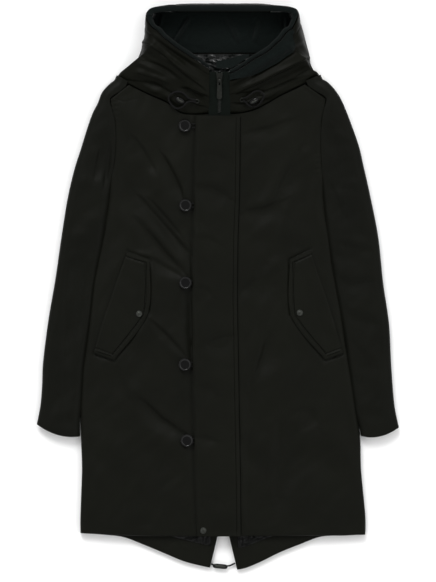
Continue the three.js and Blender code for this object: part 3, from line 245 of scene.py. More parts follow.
HOOD_CREASES = [
    ([(-122.7, 476.9), (-90.4, 450.3), (-52.4, 425.6), (-20.1, 410.4)], 2.3, 1.7),
    ([(-137.9, 461.7), (-103.7, 437), (-63.8, 400.9), (-27.7, 376.2)], 2.7, 2.9),
    ([(-155, 404.7), (-96.1, 385.7)], 3.2, 1.5),
    ([(-71.4, 376.2), (-20.1, 361)], 2.6, 1.9),
    ([(19.8, 393.3), (76.8, 412.3), (128, 437), (147, 444.6)], 2.4, 2.1),
    ([(40.7, 366.7), (88.2, 387.6), (145.2, 419.9), (175.6, 433.2)], 2.7, 2.9),
    ([(27.4, 364.8), (90, 368.6), (166, 399)], 3.0, 1.6),
    ([(-176, 393.3), (-120, 383), (-75.2, 361)], 3.0, 1.6), ([(-138, 428), (-110, 418), (-84, 404)], 3.0, 1.2),
    ([(-60, 352), (-36, 342), (-22, 341)], 2.6, 1.4), ([(30, 348), (60, 343), (96, 356)], 2.6, 1.4),
    ([(100, 452), (124, 470), (140, 492)], 2.8, 1.2), ([(110, 376), (150, 396), (176, 412)], 2.8, 1.5),
]


# Small helpers on arrays
def mix(a, b, t):
    return a + (b - a) * t


def clamp01(t):
    return np.clip(t, 0.0, 1.0)


def smooth(t):
    s = clamp01(t)
    return s * s * (3 - 2 * s)


def round_off(distance, radius):
    s = clamp01(distance / radius)
    return np.sqrt(np.maximum(0, 1 - (1 - s) ** 2))


def column(rows, name, t):
    """A named column at a place t from 0 to 1 down a table, on a smooth curve."""
    values = rows[name]
    place = clamp01(t) * (len(values) - 1)
    i = np.minimum(len(values) - 2, np.floor(place).astype(int))
    f = place - i

    def at(k):
        return values[np.clip(k, 0, len(values) - 1)]

    before = (at(i + 1) - at(i - 1)) / 2
    after = (at(i + 2) - at(i)) / 2
    step = at(i + 1) - at(i)
    return at(i) + f * (before + f * (3 * step - 2 * before - after + f * (before + after - 2 * step)))


def column_at_y(rows, name, y):
    """A named column at a height y in a table that runs down the garment."""
    return np.interp(-np.asarray(y, float), -rows["y"], rows[name])


def fold_height(folds, x, y):
    """Soft ridges from one end to the other, each with a trough beside it."""
    height = np.zeros(np.broadcast(x, y).shape)
    for x1, y1, x2, y2, width, tall in zip(*(folds[k] for k in ("x1", "y1", "x2", "y2", "width", "height"))):
        dx, dy = x2 - x1, y2 - y1
        length = math.hypot(dx, dy)
        along = ((x - x1) * dx + (y - y1) * dy) / (length * length)
        across = ((x - x1) * dy - (y - y1) * dx) / length / width
        taper = smooth((along + 0.2) / 0.35) * smooth((1.2 - along) / 0.35)
        ridge = np.exp(-across * across * 1.6)
        trough = 0.7 * np.exp(-(across - 1.25) ** 2 * 1.8)
        height = height + tall * taper * (ridge - trough)
    return height


def creases(lines, x, y):
    """Valleys along lines in plan, steep towards the hood and gentle towards the hem, that die out at both ends."""
    height = np.zeros(np.broadcast(x, y).shape)
    for line, width, depth in lines:
        d, along, side = distance_to(line, x, y)
        length = sum(math.dist(p, q) for p, q in zip(line[:-1], line[1:]))
        s = along / length
        fade = np.sqrt(np.sin(math.pi * clamp01(0.04 + 0.92 * s)))
        wide = width * (0.65 + 0.45 * np.sin(math.pi * s))
        reach = wide * np.where(side < 0, CREASE_STEEP, CREASE_GENTLE)
        height = height - CREASE_DEPTH * depth * fade * np.exp(-((d / reach) ** 2))
    return height


def ripples(x, y, size, seed, turn=0.0, stretch=1.0):
    """Soft irregular undulation of about unit height, with features of that size in millimetres."""
    r = np.random.default_rng(seed)
    c, s = math.cos(turn), math.sin(turn)
    a, b = (x * c + y * s) / stretch, y * c - x * s
    a = a + 0.22 * size * np.sin(b * 2.9 / size + seed)
    b = b + 0.22 * size * np.sin(a * 2.3 / size + 2 * seed)
    total = 0.0
    for _ in range(8):
        angle, length, phase = r.uniform(0, math.tau), size * r.uniform(0.7, 1.6), r.uniform(0, math.tau)
        total = total + np.sin(math.tau * (a * math.cos(angle) + b * math.sin(angle)) / length + phase)
    return total / 2.6


def distance_to(line, x, y):
    """Distance in plan to a polyline, how far along it the nearest point is, and its side, over 0 towards the hem."""
    best = np.full(np.broadcast(x, y).shape, np.inf)
    where, side = np.zeros_like(best), np.zeros_like(best)
    start = 0.0
    for (x1, y1), (x2, y2) in zip(line[:-1], line[1:]):
        dx, dy = x2 - x1, y2 - y1
        length = math.hypot(dx, dy)
        t = clamp01(((x - x1) * dx + (y - y1) * dy) / (length * length))
        d = np.hypot(x - x1 - t * dx, y - y1 - t * dy)
        turn = ((x - x1) * dy - (y - y1) * dx) * (1 if line[-1][0] >= line[0][0] else -1)
        where, side = np.where(d < best, start + t * length, where), np.where(d < best, turn, side)
        best = np.minimum(best, d)
        start += length
    return best, where, side


def seam_relief(line, x, y, depth, width, pucker=0.0, reach=9.0, pitch=9.0, seed=1):
    """A stitched-in groove along a line, with small puckers across it on both sides."""
    d, along, _ = distance_to(line, x, y)
    groove = -depth * np.exp(-((d / width) ** 2))
    wave = np.sin(math.tau * along / pitch + 1.7 * np.sin(along / (1.9 * pitch) + seed))
    wave = wave * (0.6 + 0.4 * np.sin(along / (4.3 * pitch) + 2 * seed))
    return groove + pucker * wave * np.exp(-((d / reach) ** 2)) * smooth(d / width)


# Meshes
def make_piece(name, points, faces, material, slot_name, nodes=(), body=COAT, sharp=50):
    """A piece from points in millimetres and faces, turned outward, which stands for the given nodes."""
    mesh = bpy.data.meshes.new(name)
    mesh.from_pydata((np.asarray(points, float) * MM).tolist(), [], [list(f) for f in faces])
    shape = bmesh.new()
    shape.from_mesh(mesh)
    bmesh.ops.recalc_face_normals(shape, faces=shape.faces)
    shape.to_mesh(mesh)
    shape.free()
    mesh.shade_smooth()
    mesh.set_sharp_from_angle(angle=math.radians(sharp))
    mesh.materials.append(material)
    piece = bpy.data.objects.new(name, mesh)
    bpy.context.scene.collection.objects.link(piece)
    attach(piece, body)
    if nodes:
        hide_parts(*nodes)
    return piece


def quads(rows, across, first=0, ring=False):
    """The quads of a grid of points, with rows + 1 lines of across points."""
    i = np.arange(across if ring else across - 1)
    j = np.arange(rows)[:, None]
    nxt = (i + 1) % across
    a, b = j * across + i, (j + 1) * across + i
    c, d = (j + 1) * across + nxt, j * across + nxt
    return first + np.stack([a, b, c, d], axis=-1).reshape(-1, 4)


def wall(upper, lower, columns, rows):
    """A closed wall between an upper and a lower grid that share their rim."""
    u, v = np.meshgrid(np.linspace(0, 1, columns + 1), np.linspace(0, 1, rows + 1))
    grids = [np.stack(np.broadcast_arrays(*surface(u, v)), axis=-1).reshape(-1, 3) for surface in (upper, lower)]
    across = columns + 1
    count = across * (rows + 1)
    top = quads(rows, across)
    under = quads(rows, across, count)[:, ::-1]
    i, j = np.arange(columns), np.arange(rows)
    sides = [
        np.stack([i, i + 1, count + i + 1, count + i], axis=-1),
        np.stack([i + 1, i, count + i, count + i + 1], axis=-1) + rows * across,
        np.stack([(j + 1) * across, j * across, count + j * across, count + (j + 1) * across], axis=-1),
        np.stack([j * across, (j + 1) * across, count + (j + 1) * across, count + j * across], axis=-1) + columns,
    ]
    return np.concatenate(grids), np.concatenate([top, under, *sides])


def flat_backed(upper, floor_z, columns, rows):
    """A grid of points over one flat underside."""
    u, v = np.meshgrid(np.linspace(0, 1, columns + 1), np.linspace(0, 1, rows + 1))
    points = np.stack(np.broadcast_arrays(*upper(u, v)), axis=-1).reshape(-1, 3)
    across = columns + 1
    index = np.arange(across * (rows + 1)).reshape(rows + 1, across)
    rim = np.concatenate([index[:-1, 0], index[-1, :-1], index[:0:-1, -1], index[0, :0:-1]])
    below = points[rim].copy()
    below[:, 2] = floor_z
    first = len(points)
    step = np.arange(len(rim))
    following = (step + 1) % len(rim)
    sides = np.stack([rim[following], rim, first + step, first + following], axis=-1)
    faces = [list(f) for f in np.concatenate([quads(rows, across), sides])]
    faces.append([int(first + k) for k in step][::-1])
    return np.concatenate([points, below]), faces


def tube_mesh(line, radius, sides, squash=1.0):
    """A round rod along a line of points, closed at both ends with fans."""
    line = np.asarray(line, float)
    tangent = np.gradient(line, axis=0)
    tangent /= np.linalg.norm(tangent, axis=1)[:, None]
    side = np.cross(tangent, [0, 0, 1.0])
    side /= np.linalg.norm(side, axis=1)[:, None]
    up = np.cross(side, tangent)
    angle = np.linspace(0, math.tau, sides, endpoint=False)
    radius = np.broadcast_to(radius, len(line))[:, None, None]
    ring = np.cos(angle)[None, :, None] * side[:, None] + squash * np.sin(angle)[None, :, None] * up[:, None]
    points = (line[:, None] + radius * ring).reshape(-1, 3)
    faces = quads(len(line) - 1, sides, ring=True).tolist()
    faces.append(list(range(sides))[::-1])
    last = (len(line) - 1) * sides
    faces.append([last + k for k in range(sides)])
    return points, faces


def curve_points(points, step=1.0):
    """A smooth line through points, about a step apart."""
    p = np.asarray(points, float)
    p = np.vstack([2 * p[0] - p[1], p, 2 * p[-1] - p[-2]])
    lengths = np.linalg.norm(np.diff(p, axis=0), axis=1)
    knots = np.concatenate([[0], np.cumsum(lengths ** 0.5)])
    out = []
    for t in np.linspace(knots[1], knots[-2], max(8, int(lengths[1:-1].sum() / step))):
        i = min(max(int(np.searchsorted(knots, t, side="right")) - 1, 1), len(p) - 3)
        k, q = knots[i - 1:i + 3], p[i - 1:i + 3]
        a = [mix(q[n], q[n + 1], (t - k[n]) / (k[n + 1] - k[n])) for n in range(3)]
        b = [mix(a[n], a[n + 1], (t - k[n]) / (k[n + 2] - k[n])) for n in range(2)]
        out.append(mix(b[0], b[1], (t - k[1]) / (k[2] - k[1])))
    return np.array(out)


def lathe(profile, segments):
    """A turned form from (radius, height) pairs that start and end on the axis or close on themselves."""
    profile = np.asarray(profile, float)
    angle = np.linspace(0, math.tau, segments, endpoint=False)
    r, z = profile[:, :1], profile[:, 1:]
    points = np.stack(np.broadcast_arrays(r * np.cos(angle), r * np.sin(angle), z), axis=-1).reshape(-1, 3)
    return points, quads(len(profile) - 1, segments, ring=True)


def seat_on(points, x, y, height, lift, turn=0.0):
    """Points about the origin, seated on a height field with their axis along its normal."""
    step = 3.0
    dx = (height(x + step, y) - height(x - step, y)) / (2 * step)
    dy = (height(x, y + step) - height(x, y - step)) / (2 * step)
    n = Vector((-float(dx), -float(dy), 1.0)).normalized()
    turned = Vector((0, 0, 1)).rotation_difference(n).to_matrix() @ Matrix.Rotation(turn, 3, "Z")
    base = np.array([x, y, float(height(x, y))]) + np.array(n) * lift
    return points @ np.array(turned).T + base


def stitches(name, lines, material, pitch=3.4, length=3.0, thick=0.55):
    """Short threads laid along lines of points on a surface, as one piece."""
    points, faces = [], []
    for line in lines:
        line = np.asarray(line, float)
        along = np.concatenate([[0], np.cumsum(np.linalg.norm(np.diff(line, axis=0), axis=1))])
        for start in np.arange(0.5, along[-1] - length, pitch):
            ends = [np.array([np.interp(s, along, line[:, k]) for k in range(3)]) for s in (start, start + length)]
            t = (ends[1] - ends[0]) / np.linalg.norm(ends[1] - ends[0])
            side = np.cross(t, [0, 0, 1.0])
            side /= np.linalg.norm(side)
            up = np.cross(side, t)
            ring = [math.cos(a) * side + 0.7 * math.sin(a) * up for a in np.arange(6) * math.tau / 6]
            first = len(points)
            points.append(ends[0])
            points += [mix(ends[0], ends[1], 0.28) + thick * q for q in ring]
            points += [mix(ends[0], ends[1], 0.72) + thick * q for q in ring]
            points.append(ends[1])
            for k in range(6):
                n = (k + 1) % 6
                faces.append([first, first + 1 + n, first + 1 + k, first + 1 + k])
                faces.append([first + 1 + k, first + 1 + n, first + 7 + n, first + 7 + k])
                faces.append([first + 13, first + 7 + k, first + 7 + n, first + 7 + n])
    triangles = [f[:3] if f[2] == f[3] else f for f in faces]
    mesh = bpy.data.meshes.new(name)
    mesh.from_pydata((np.array(points) * MM).tolist(), [], triangles)
    mesh.shade_smooth()
    mesh.materials.append(material)
    piece = bpy.data.objects.new(name, mesh)
    bpy.context.scene.collection.objects.link(piece)
    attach(piece, COAT)
    return piece




# Camera straight above, at the photograph's frame, and the floor and light
def add_camera():
    data = bpy.data.cameras.new("camera")
    distance = 6.0
    data.lens = data.sensor_width * distance / (PHOTO_HEIGHT * MM)
    data.clip_end = 50
    camera = bpy.data.objects.new("camera", data)
    camera.location = (PHOTO_CENTRE[0] * MM, PHOTO_CENTRE[1] * MM, distance + 0.02)
    bpy.context.scene.collection.objects.link(camera)
    bpy.context.scene.camera = camera


def add_light(name, strength, spread_deg, azimuth_deg, elevation_deg, colour=(1, 1, 1)):
    """A soft distant light that comes from an azimuth, counted from +Y towards +X, and an elevation."""
    data = bpy.data.lights.new(name, "SUN")
    data.energy = strength
    data.angle = math.radians(spread_deg)
    data.color = colour
    light = bpy.data.objects.new(name, data)
    a, e = math.radians(azimuth_deg), math.radians(elevation_deg)
    towards = Vector((math.sin(a) * math.cos(e), math.cos(a) * math.cos(e), math.sin(e)))
    light.rotation_mode = "QUATERNION"
    light.rotation_quaternion = towards.to_track_quat("Z", "Y")
    bpy.context.scene.collection.objects.link(light)


def add_stage():
    size = 6.0
    mesh = bpy.data.meshes.new("floor")
    corners = [(-size, -size, 0), (size, -size, 0), (size, size, 0), (-size, size, 0)]
    mesh.from_pydata([(x, y, -0.0004) for x, y, _ in corners], [], [(0, 1, 2, 3)])
    paper = bpy.data.materials.new("studio_paper")
    paper.use_nodes = True
    shader = paper.node_tree.nodes["Principled BSDF"]
    shader.inputs["Base Color"].default_value = (0.88, 0.88, 0.88, 1)
    shader.inputs["Roughness"].default_value = 1.0
    shader.inputs["Specular IOR Level"].default_value = 0.0
    mesh.materials.append(paper)
    floor = bpy.data.objects.new("floor", mesh)
    bpy.context.scene.collection.objects.link(floor)
    world = bpy.data.worlds.new("studio")
    bpy.context.scene.world = world
    world.use_nodes = True
    tree = world.node_tree
    background = tree.nodes["Background"]
    parts = tree.nodes.new("ShaderNodeSeparateXYZ")
    tree.links.new(tree.nodes.new("ShaderNodeTexCoord").outputs["Generated"], parts.inputs[0])
    level = tree.nodes.new("ShaderNodeValToRGB")
    stops = ((0.0, 0.2), (0.35, 0.4), (0.6, 1.0), (0.88, 1.0), (0.97, 0.15))
    while len(level.color_ramp.elements) < len(stops):
        level.color_ramp.elements.new(0.5)
    for stop, (place, value) in zip(level.color_ramp.elements, stops):
        stop.position = place
        stop.color = (value, value, value, 1)
    tree.links.new(parts.outputs["Z"], level.inputs["Fac"])
    tree.links.new(level.outputs["Color"], background.inputs["Color"])
    background.inputs["Strength"].default_value = 1.25
    add_light("key", 1.7, 24, -14, 44)
    add_light("fill", 0.4, 60, 60, 50)
    bpy.context.scene.view_settings.view_transform = "Standard"


# Materials
class Nodes:
    """A material's node tree, with short calls for the nodes that the cloths and trims use."""

    def __init__(self, name):
        self.material = bpy.data.materials.new(name)
        self.material.use_nodes = True
        self.tree = self.material.node_tree
        self.shader = self.tree.nodes["Principled BSDF"]
        self.place = self.tree.nodes.new("ShaderNodeTexCoord").outputs["Object"]

    def add(self, kind, inputs=None, **settings):
        node = self.tree.nodes.new(kind)
        for key, value in settings.items():
            setattr(node, key, value)
        for key, value in (inputs or {}).items():
            if isinstance(value, bpy.types.NodeSocket):
                self.tree.links.new(value, node.inputs[key])
            else:
                node.inputs[key].default_value = value
        return node

    def noise(self, scale, detail=3.0, stretch=(1, 1, 1)):
        place = self.add("ShaderNodeMapping", {"Vector": self.place, "Scale": stretch}).outputs["Vector"]
        values = {"Vector": place, "Scale": scale, "Detail": detail, "Roughness": 0.55}
        return self.add("ShaderNodeTexNoise", values).outputs["Fac"]

    def bands(self, pitch, direction="DIAGONAL", turn=0.0, distortion=0.0):
        place = self.add("ShaderNodeMapping", {"Vector": self.place, "Rotation": (0, 0, turn)}).outputs["Vector"]
        step = 0.444 if direction == "DIAGONAL" else 0.314
        values = {"Vector": place, "Scale": step / pitch, "Distortion": distortion, "Detail": 1.0}
        return self.add("ShaderNodeTexWave", values, bands_direction=direction).outputs["Fac"]

    def bump(self, height, strength, distance, normal=None):
        values = {"Height": height, "Strength": strength, "Distance": distance}
        if normal is not None:
            values["Normal"] = normal
        return self.add("ShaderNodeBump", values).outputs["Normal"]

    def tones(self, factor, dark, light, low=0.3, high=0.7):
        ramp = self.add("ShaderNodeValToRGB", {"Fac": factor})
        ramp.color_ramp.elements[0].position, ramp.color_ramp.elements[1].position = low, high
        ramp.color_ramp.elements[0].color = (*dark, 1)
        ramp.color_ramp.elements[1].color = (*light, 1)
        return ramp.outputs["Color"]

    def finish(self, colour=None, normal=None, **numbers):
        if colour is not None:
            self.tree.links.new(colour, self.shader.inputs["Base Color"])
        if normal is not None:
            self.tree.links.new(normal, self.shader.inputs["Normal"])
        for key, value in numbers.items():
            name = key.replace("_", " ").title().replace("Ior", "IOR")
            self.shader.inputs[name].default_value = value
        return self.material


def scaled(colour, by):
    return tuple(c * by for c in colour)


def twill(name, colour, sheen=0.02):
    """Closely woven cotton twill: fine diagonal ribs, short soft creases and slightly worn tones."""
    n = Nodes(name)
    ribs = n.bands(0.0011, distortion=0.6)
    cross = n.bands(0.0019, "X")
    weave = n.bump(ribs, 0.30, 0.00022)
    weave = n.bump(cross, 0.12, 0.00015, weave)
    crumple = n.bump(n.noise(34, 4.0), 0.30, 0.0030, weave)
    tone = n.tones(n.noise(11, 5.0), scaled(colour, 0.86), scaled(colour, 1.14))
    rough = n.add("ShaderNodeMapRange", {"Value": n.noise(60, 2.0), "To Min": 0.42, "To Max": 0.54})
    n.tree.links.new(rough.outputs["Result"], n.shader.inputs["Roughness"])
    return n.finish(tone, crumple, specular_ior_level=0.06, sheen_weight=sheen, sheen_roughness=0.45)


def fleece(name, colour):
    """Brushed knit: short matted fibres with a soft bloom."""
    n = Nodes(name)
    fibres = n.bump(n.noise(900, 5.0, (1, 0.35, 1)), 0.55, 0.0006)
    clumps = n.bump(n.noise(150, 3.0), 0.35, 0.0010, fibres)
    creases = n.bump(n.noise(28, 3.0), 0.30, 0.0030, clumps)
    tone = n.tones(n.noise(260, 4.0), scaled(colour, 0.72), scaled(colour, 1.28))
    return n.finish(tone, creases, roughness=0.92, specular_ior_level=0.06, sheen_weight=0.035, sheen_roughness=0.6)


def smooth_lining(name, colour, shine=0.30):
    """Shiny plain-weave lining with sharp little creases."""
    n = Nodes(name)
    threads = n.bump(n.bands(0.0007, "X"), 0.10, 0.0001)
    creases = n.bump(n.noise(110, 4.0, (1, 0.5, 1)), 0.55, 0.0032, threads)
    tone = n.tones(n.noise(40, 3.0), scaled(colour, 0.85), scaled(colour, 1.2))
    return n.finish(tone, creases, roughness=0.24, specular_ior_level=shine)


def woven_tape(name, colour):
    """Zip tape: a flat herringbone weave."""
    n = Nodes(name)
    rows = n.bump(n.bands(0.0012, "Y"), 0.45, 0.0003)
    weave = n.bump(n.bands(0.0010), 0.35, 0.0002, rows)
    tone = n.tones(n.noise(120, 3.0), scaled(colour, 0.85), scaled(colour, 1.2))
    return n.finish(tone, weave, roughness=0.75, specular_ior_level=0.06, sheen_weight=0.01)


def dark_metal(name, colour, roughness=0.32):
    """Dark plated metal, lightly brushed, with small wear."""
    n = Nodes(name)
    brushed = n.bump(n.noise(1500, 3.0, (1, 0.15, 1)), 0.12, 0.0001)
    tone = n.tones(n.noise(220, 4.0), scaled(colour, 0.8), scaled(colour, 1.5), 0.35, 0.75)
    return n.finish(tone, brushed, roughness=roughness, metallic=0.85)


def gloss_plastic(name, colour, shine=0.5):
    """Polished dark plastic with a faint moulding ripple."""
    n = Nodes(name)
    mould = n.bump(n.noise(180, 2.0), 0.05, 0.0004)
    tone = n.tones(n.noise(90, 3.0), scaled(colour, 0.85), scaled(colour, 1.25))
    return n.finish(tone, mould, roughness=0.07, specular_ior_level=shine)


def braid(name, colour):
    """Round braided elastic cord."""
    n = Nodes(name)
    over = n.bump(n.bands(0.0013, "DIAGONAL", 0.2), 0.6, 0.0004)
    back = n.bump(n.bands(0.0013, "DIAGONAL", 1.6), 0.5, 0.0004, over)
    tone = n.tones(n.noise(500, 3.0), scaled(colour, 0.75), scaled(colour, 1.35))
    return n.finish(tone, back, roughness=0.75, specular_ior_level=0.1, sheen_weight=0.02)


def sewing_thread(name, colour):
    """Twisted polyester thread."""
    n = Nodes(name)
    twist = n.bump(n.bands(0.0006), 0.4, 0.0002)
    tone = n.tones(n.noise(700, 2.0), scaled(colour, 0.85), scaled(colour, 1.2))
    return n.finish(tone, twist, roughness=0.8, specular_ior_level=0.03)


add_camera()
add_stage()
SHELL = twill("shell_twill", (0.0037, 0.0040, 0.0025))
# The sleeve twill is the shell twill made darker: painted shade on the sleeves.
SLEEVE_SHELL_SHADED = twill("sleeve_twill_painted_shade", (0.0033, 0.0036, 0.0023))
# The hood twill is the shell twill made darker: painted shade on the hood's sides and crown.
HOOD_SHELL_SHADED = twill("hood_twill_painted_shade", (0.0024, 0.0027, 0.0012))
FLEECE = fleece("teal_fleece", (0.0019, 0.0036, 0.0032))
SHINY = smooth_lining("shiny_lining", (0.0026, 0.0034, 0.0031))
# The tail lining is the shiny lining made much darker: painted shade under the front's hem.
TAIL_SATIN_SHADED = smooth_lining("tail_satin_painted_shade", (0.0010, 0.0012, 0.0010), 0.16)
TAPE = woven_tape("zip_tape_weave", (0.0022, 0.0036, 0.0026))
METAL = dark_metal("dark_metal", (0.012, 0.013, 0.011))
SNAP_METAL = dark_metal("snap_metal", (0.030, 0.032, 0.028), 0.42)
PLASTIC = gloss_plastic("button_plastic", (0.0016, 0.0016, 0.0016))
LOCK_PLASTIC = gloss_plastic("lock_plastic", (0.0030, 0.0030, 0.0030), 0.14)
CORD = braid("braided_elastic", (0.004, 0.004, 0.004))
TEETH = dark_metal("moulded_teeth", (0.020, 0.022, 0.020), 0.45)
TOPSTITCH = sewing_thread("topstitch_thread", (0.0020, 0.0022, 0.0014))
# This thread is far darker than the topstitch thread: painted shade along seams and flap edges.
SEAM_SHADE_THREAD = sewing_thread("sewing_thread", (0.0006, 0.0007, 0.0005))


# The body
def side_distance(x, y):
    return np.maximum(0, np.minimum(x - column_at_y(SIDE_RIGHT, "x", y), column_at_y(SIDE_LEFT, "x", y) - x))


def placket_cover(x):
    return smooth((52 - np.abs(x + 3)) / 8)


def flap_cover(rows, x, y):
    top, bottom = rows["outY"][0] - 6, rows["outY"][-1]
    t = (top - y) / (top - bottom)
    start, end = column(rows, "outX", t), column(rows, "inX", t)
    way = np.sign(end - start)
    inward = np.minimum((x - start) * way, (end - x) * way)
    return smooth((np.minimum(inward, np.minimum(t, 1 - t) * 190) + 12) / 10)


def front_top(x, y, raised=True):
    """Height of the closed front over the floor, as the solids have it."""
    d = side_distance(x, y)
    below_arm = smooth((UNDERARM_Y - y) / 50)
    rounded = round_off(d, mix(ARMHOLE_ROUND, EDGE_ROUND, below_arm))
    edge = mix(FRONT_PAD * 0.72, EDGE_WALL, below_arm)
    crown = 3.2 * smooth(d / 140) - 2.2 * smooth((HEM_Y + 45 - y) / 45)
    bare = 1 - np.maximum(placket_cover(x), np.maximum(flap_cover(FLAP_RIGHT, x, y), flap_cover(FLAP_LEFT, x, y)))
    folds = FOLD_SHARE * bare * fold_height(FOLDS, x, y) if raised else 0
    return FRONT_BOTTOM + mix(edge, FRONT_PAD, rounded) + smooth((d - 4) / 26) * (crown + folds)


def crowd_ends(t, amount):
    return t - amount * np.sin(math.tau * t) / math.tau


def body_point(side, neck, hem, centre_x, u, v):
    """A body panel between its neck line, side seam, hem and centre line."""
    side_x, side_y = column(side, "x", v), column(side, "y", v)
    neck_x, neck_y = column(neck, "x", u), column(neck, "y", u)
    hem_x, hem_y = column(hem, "x", u), column(hem, "y", u)
    centre_y = mix(neck["y"][-1], hem["y"][-1], v)
    centre = centre_x(centre_y)
    corner_x = mix(mix(neck["x"][0], neck["x"][-1], u), mix(hem["x"][0], hem["x"][-1], u), v)
    corner_y = mix(mix(neck["y"][0], neck["y"][-1], u), mix(hem["y"][0], hem["y"][-1], u), v)
    x = mix(side_x, centre, u) + mix(neck_x, hem_x, v) - corner_x
    y = mix(side_y, centre_y, u) + mix(neck_y, hem_y, v) - corner_y
    return x, y


def front_relief(x, y):
    """What the cloth of the front adds to the height of its solid."""
    d = side_distance(x, y)
    bare = 1 - np.maximum(placket_cover(x), np.maximum(flap_cover(FLAP_RIGHT, x, y), flap_cover(FLAP_LEFT, x, y)))
    soft = 1.1 * ripples(x, y, 100, 3) + 0.42 * ripples(x, y, 42, 5, 0.9, 1.8)
    valleys = creases(FRONT_CREASES, x, y)
    inside = smooth((d - 3) / 22) * smooth((y - HEM_Y - 4) / 20)
    relief = inside * (bare * soft + valleys)
    relief = relief - 2.6 * (1 - smooth(d / 52)) * smooth(d / 20) * smooth((UNDERARM_Y - 40 - y) / 120)
    for rows in (FLAP_RIGHT, FLAP_LEFT):
        way = np.sign(rows["inX"] - rows["outX"])
        edge = [(rows["outX"][0], rows["outY"][0] + 2)]
        edge += [(x1, y1) for x1, y1 in zip(rows["inX"] + 2.0 * way, rows["inY"])]
        edge += [(rows["inX"][-1] + 2 * way[-1], rows["inY"][-1] - 3), (rows["outX"][-1], rows["outY"][-1] - 3)]
        relief = relief - FLAP_GROOVE * np.exp(-((distance_to(edge, x, y)[0] / 2.8) ** 2))
    for seam in BODY_SEAMS:
        relief = relief + seam_relief(seam["line"], x, y, seam["depth"], seam["width"], seam["pucker"], seed=seam["seed"])
    return relief


def front_height(x, y):
    return front_top(x, y) + front_relief(x, y)


def add_front(name, side, neck, centre, sign):
    hem = table("x y", [(side["x"][-1], side["y"][-1]), (sign * 150, HEM_Y - 1), (centre, HEM_Y - 2)])

    def place(u, v):
        return body_point(side, neck, hem, lambda y: centre, crowd_ends(u, 0.3), crowd_ends(v, 0.1))

    def upper(u, v):
        x, y = place(u, v)
        full = front_height(x, y)
        rolled = mix(FRONT_BOTTOM + 0.75 * (full - FRONT_BOTTOM), full, round_off(1 - v, 0.012))
        return x, y, rolled

    piece = make_piece(name + "_cloth", *flat_backed(upper, FRONT_BOTTOM, 118, 300), SHELL, "shell", [name])
    return piece


def add_back(name, side, hem, sign):
    tucked = np.where(np.arange(len(side["x"])) == 0, 9, 0)
    side = dict(side, x=side["x"] + sign * tucked, y=side["y"] + tucked)
    neck = table("x y", [(side["x"][0], side["y"][0] + 2), (sign * 100, 418), (CENTRE_BACK_X + sign * 0.3, 424)])

    def place(u, v):
        def centre(y):
            return CENTRE_BACK_X + sign * (SEAM_GAP / 2 + np.maximum(0, VENT_TOP_Y - y) * 0.24)
        return body_point(side, neck, hem, centre, crowd_ends(u, 0.5), v)

    def upper(u, v):
        x, y = place(u, v)
        return x, y, np.full_like(x, BACK_TOP)

    def lower(u, v):
        x, y = place(u, v)
        d = side_distance(x, y)
        below_arm = smooth((UNDERARM_Y - y) / 50)
        rise = (1 - round_off(d, 13)) * mix(3, BACK_TOP - EDGE_WALL, below_arm) * (1 - smooth((v - 0.97) / 0.03))
        return x, y, rise

    piece = make_piece(name + "_cloth", *wall(upper, lower, 40, 110), SHELL, "shell", [name])
    return piece


# Sleeves: a wall from the front edge over the top, round the fold and back below
def sleeve_section(rows, s, v):
    last = len(rows["outX"]) - 1
    out_x, out_y = column(rows, "outX", v), column(rows, "outY", v)
    in_x, in_y = column(rows, "inX", v), column(rows, "inY", v)
    tuck = SLEEVE_TUCK * smooth((0.97 - v) / 0.05)
    in_x = in_x + tuck * np.sign(in_x - out_x)
    reach = SHOULDER_REACH * smooth((0.03 - v) / 0.03)
    out_y, in_y = out_y + reach, in_y + reach
    width = np.hypot(out_x - in_x, out_y - in_y)
    side = np.abs(s)
    closed = smooth((v - 7 / last + 0.06) / 0.1)
    from_fold = 15 * (1 - np.cos(clamp01(side / 0.3) * math.pi / 2))
    turned = 13 * (1 - np.sin(clamp01((side - 0.78) / 0.22) * math.pi / 2))
    flat = mix(15, width - 13, (side - 0.3) / 0.48)
    opened = 13 - (13 - SLEEVE_GAP) * ((side - 0.78) / 0.22)
    near_edge = width - mix(opened, turned + SLEEVE_GAP, closed)
    distance = np.where(side < 0.3, from_fold, np.where(side > 0.78, near_edge, flat))
    fraction = distance / width
    bow = 9 * smooth((v - 0.93) / 0.07) * 4 * fraction * (1 - fraction)
    inner = width - distance
    round_in = mix(0.74 + 0.26 * round_off(inner, ARMHOLE_ROUND), round_off(inner, 14), closed)
    height = SLEEVE_HEIGHT - 2 * smooth((v - 0.6) / 0.4) - 4 * smooth((0.12 - v) / 0.12)
    return {
        "x": mix(out_x, in_x, fraction), "y": mix(out_y, in_y, fraction) - bow, "width": width, "distance": distance,
        "inner": inner, "height": height, "closed": closed, "lift": round_off(distance, 16) * round_in,
        "ends": (out_x, out_y, in_x, in_y),
    }


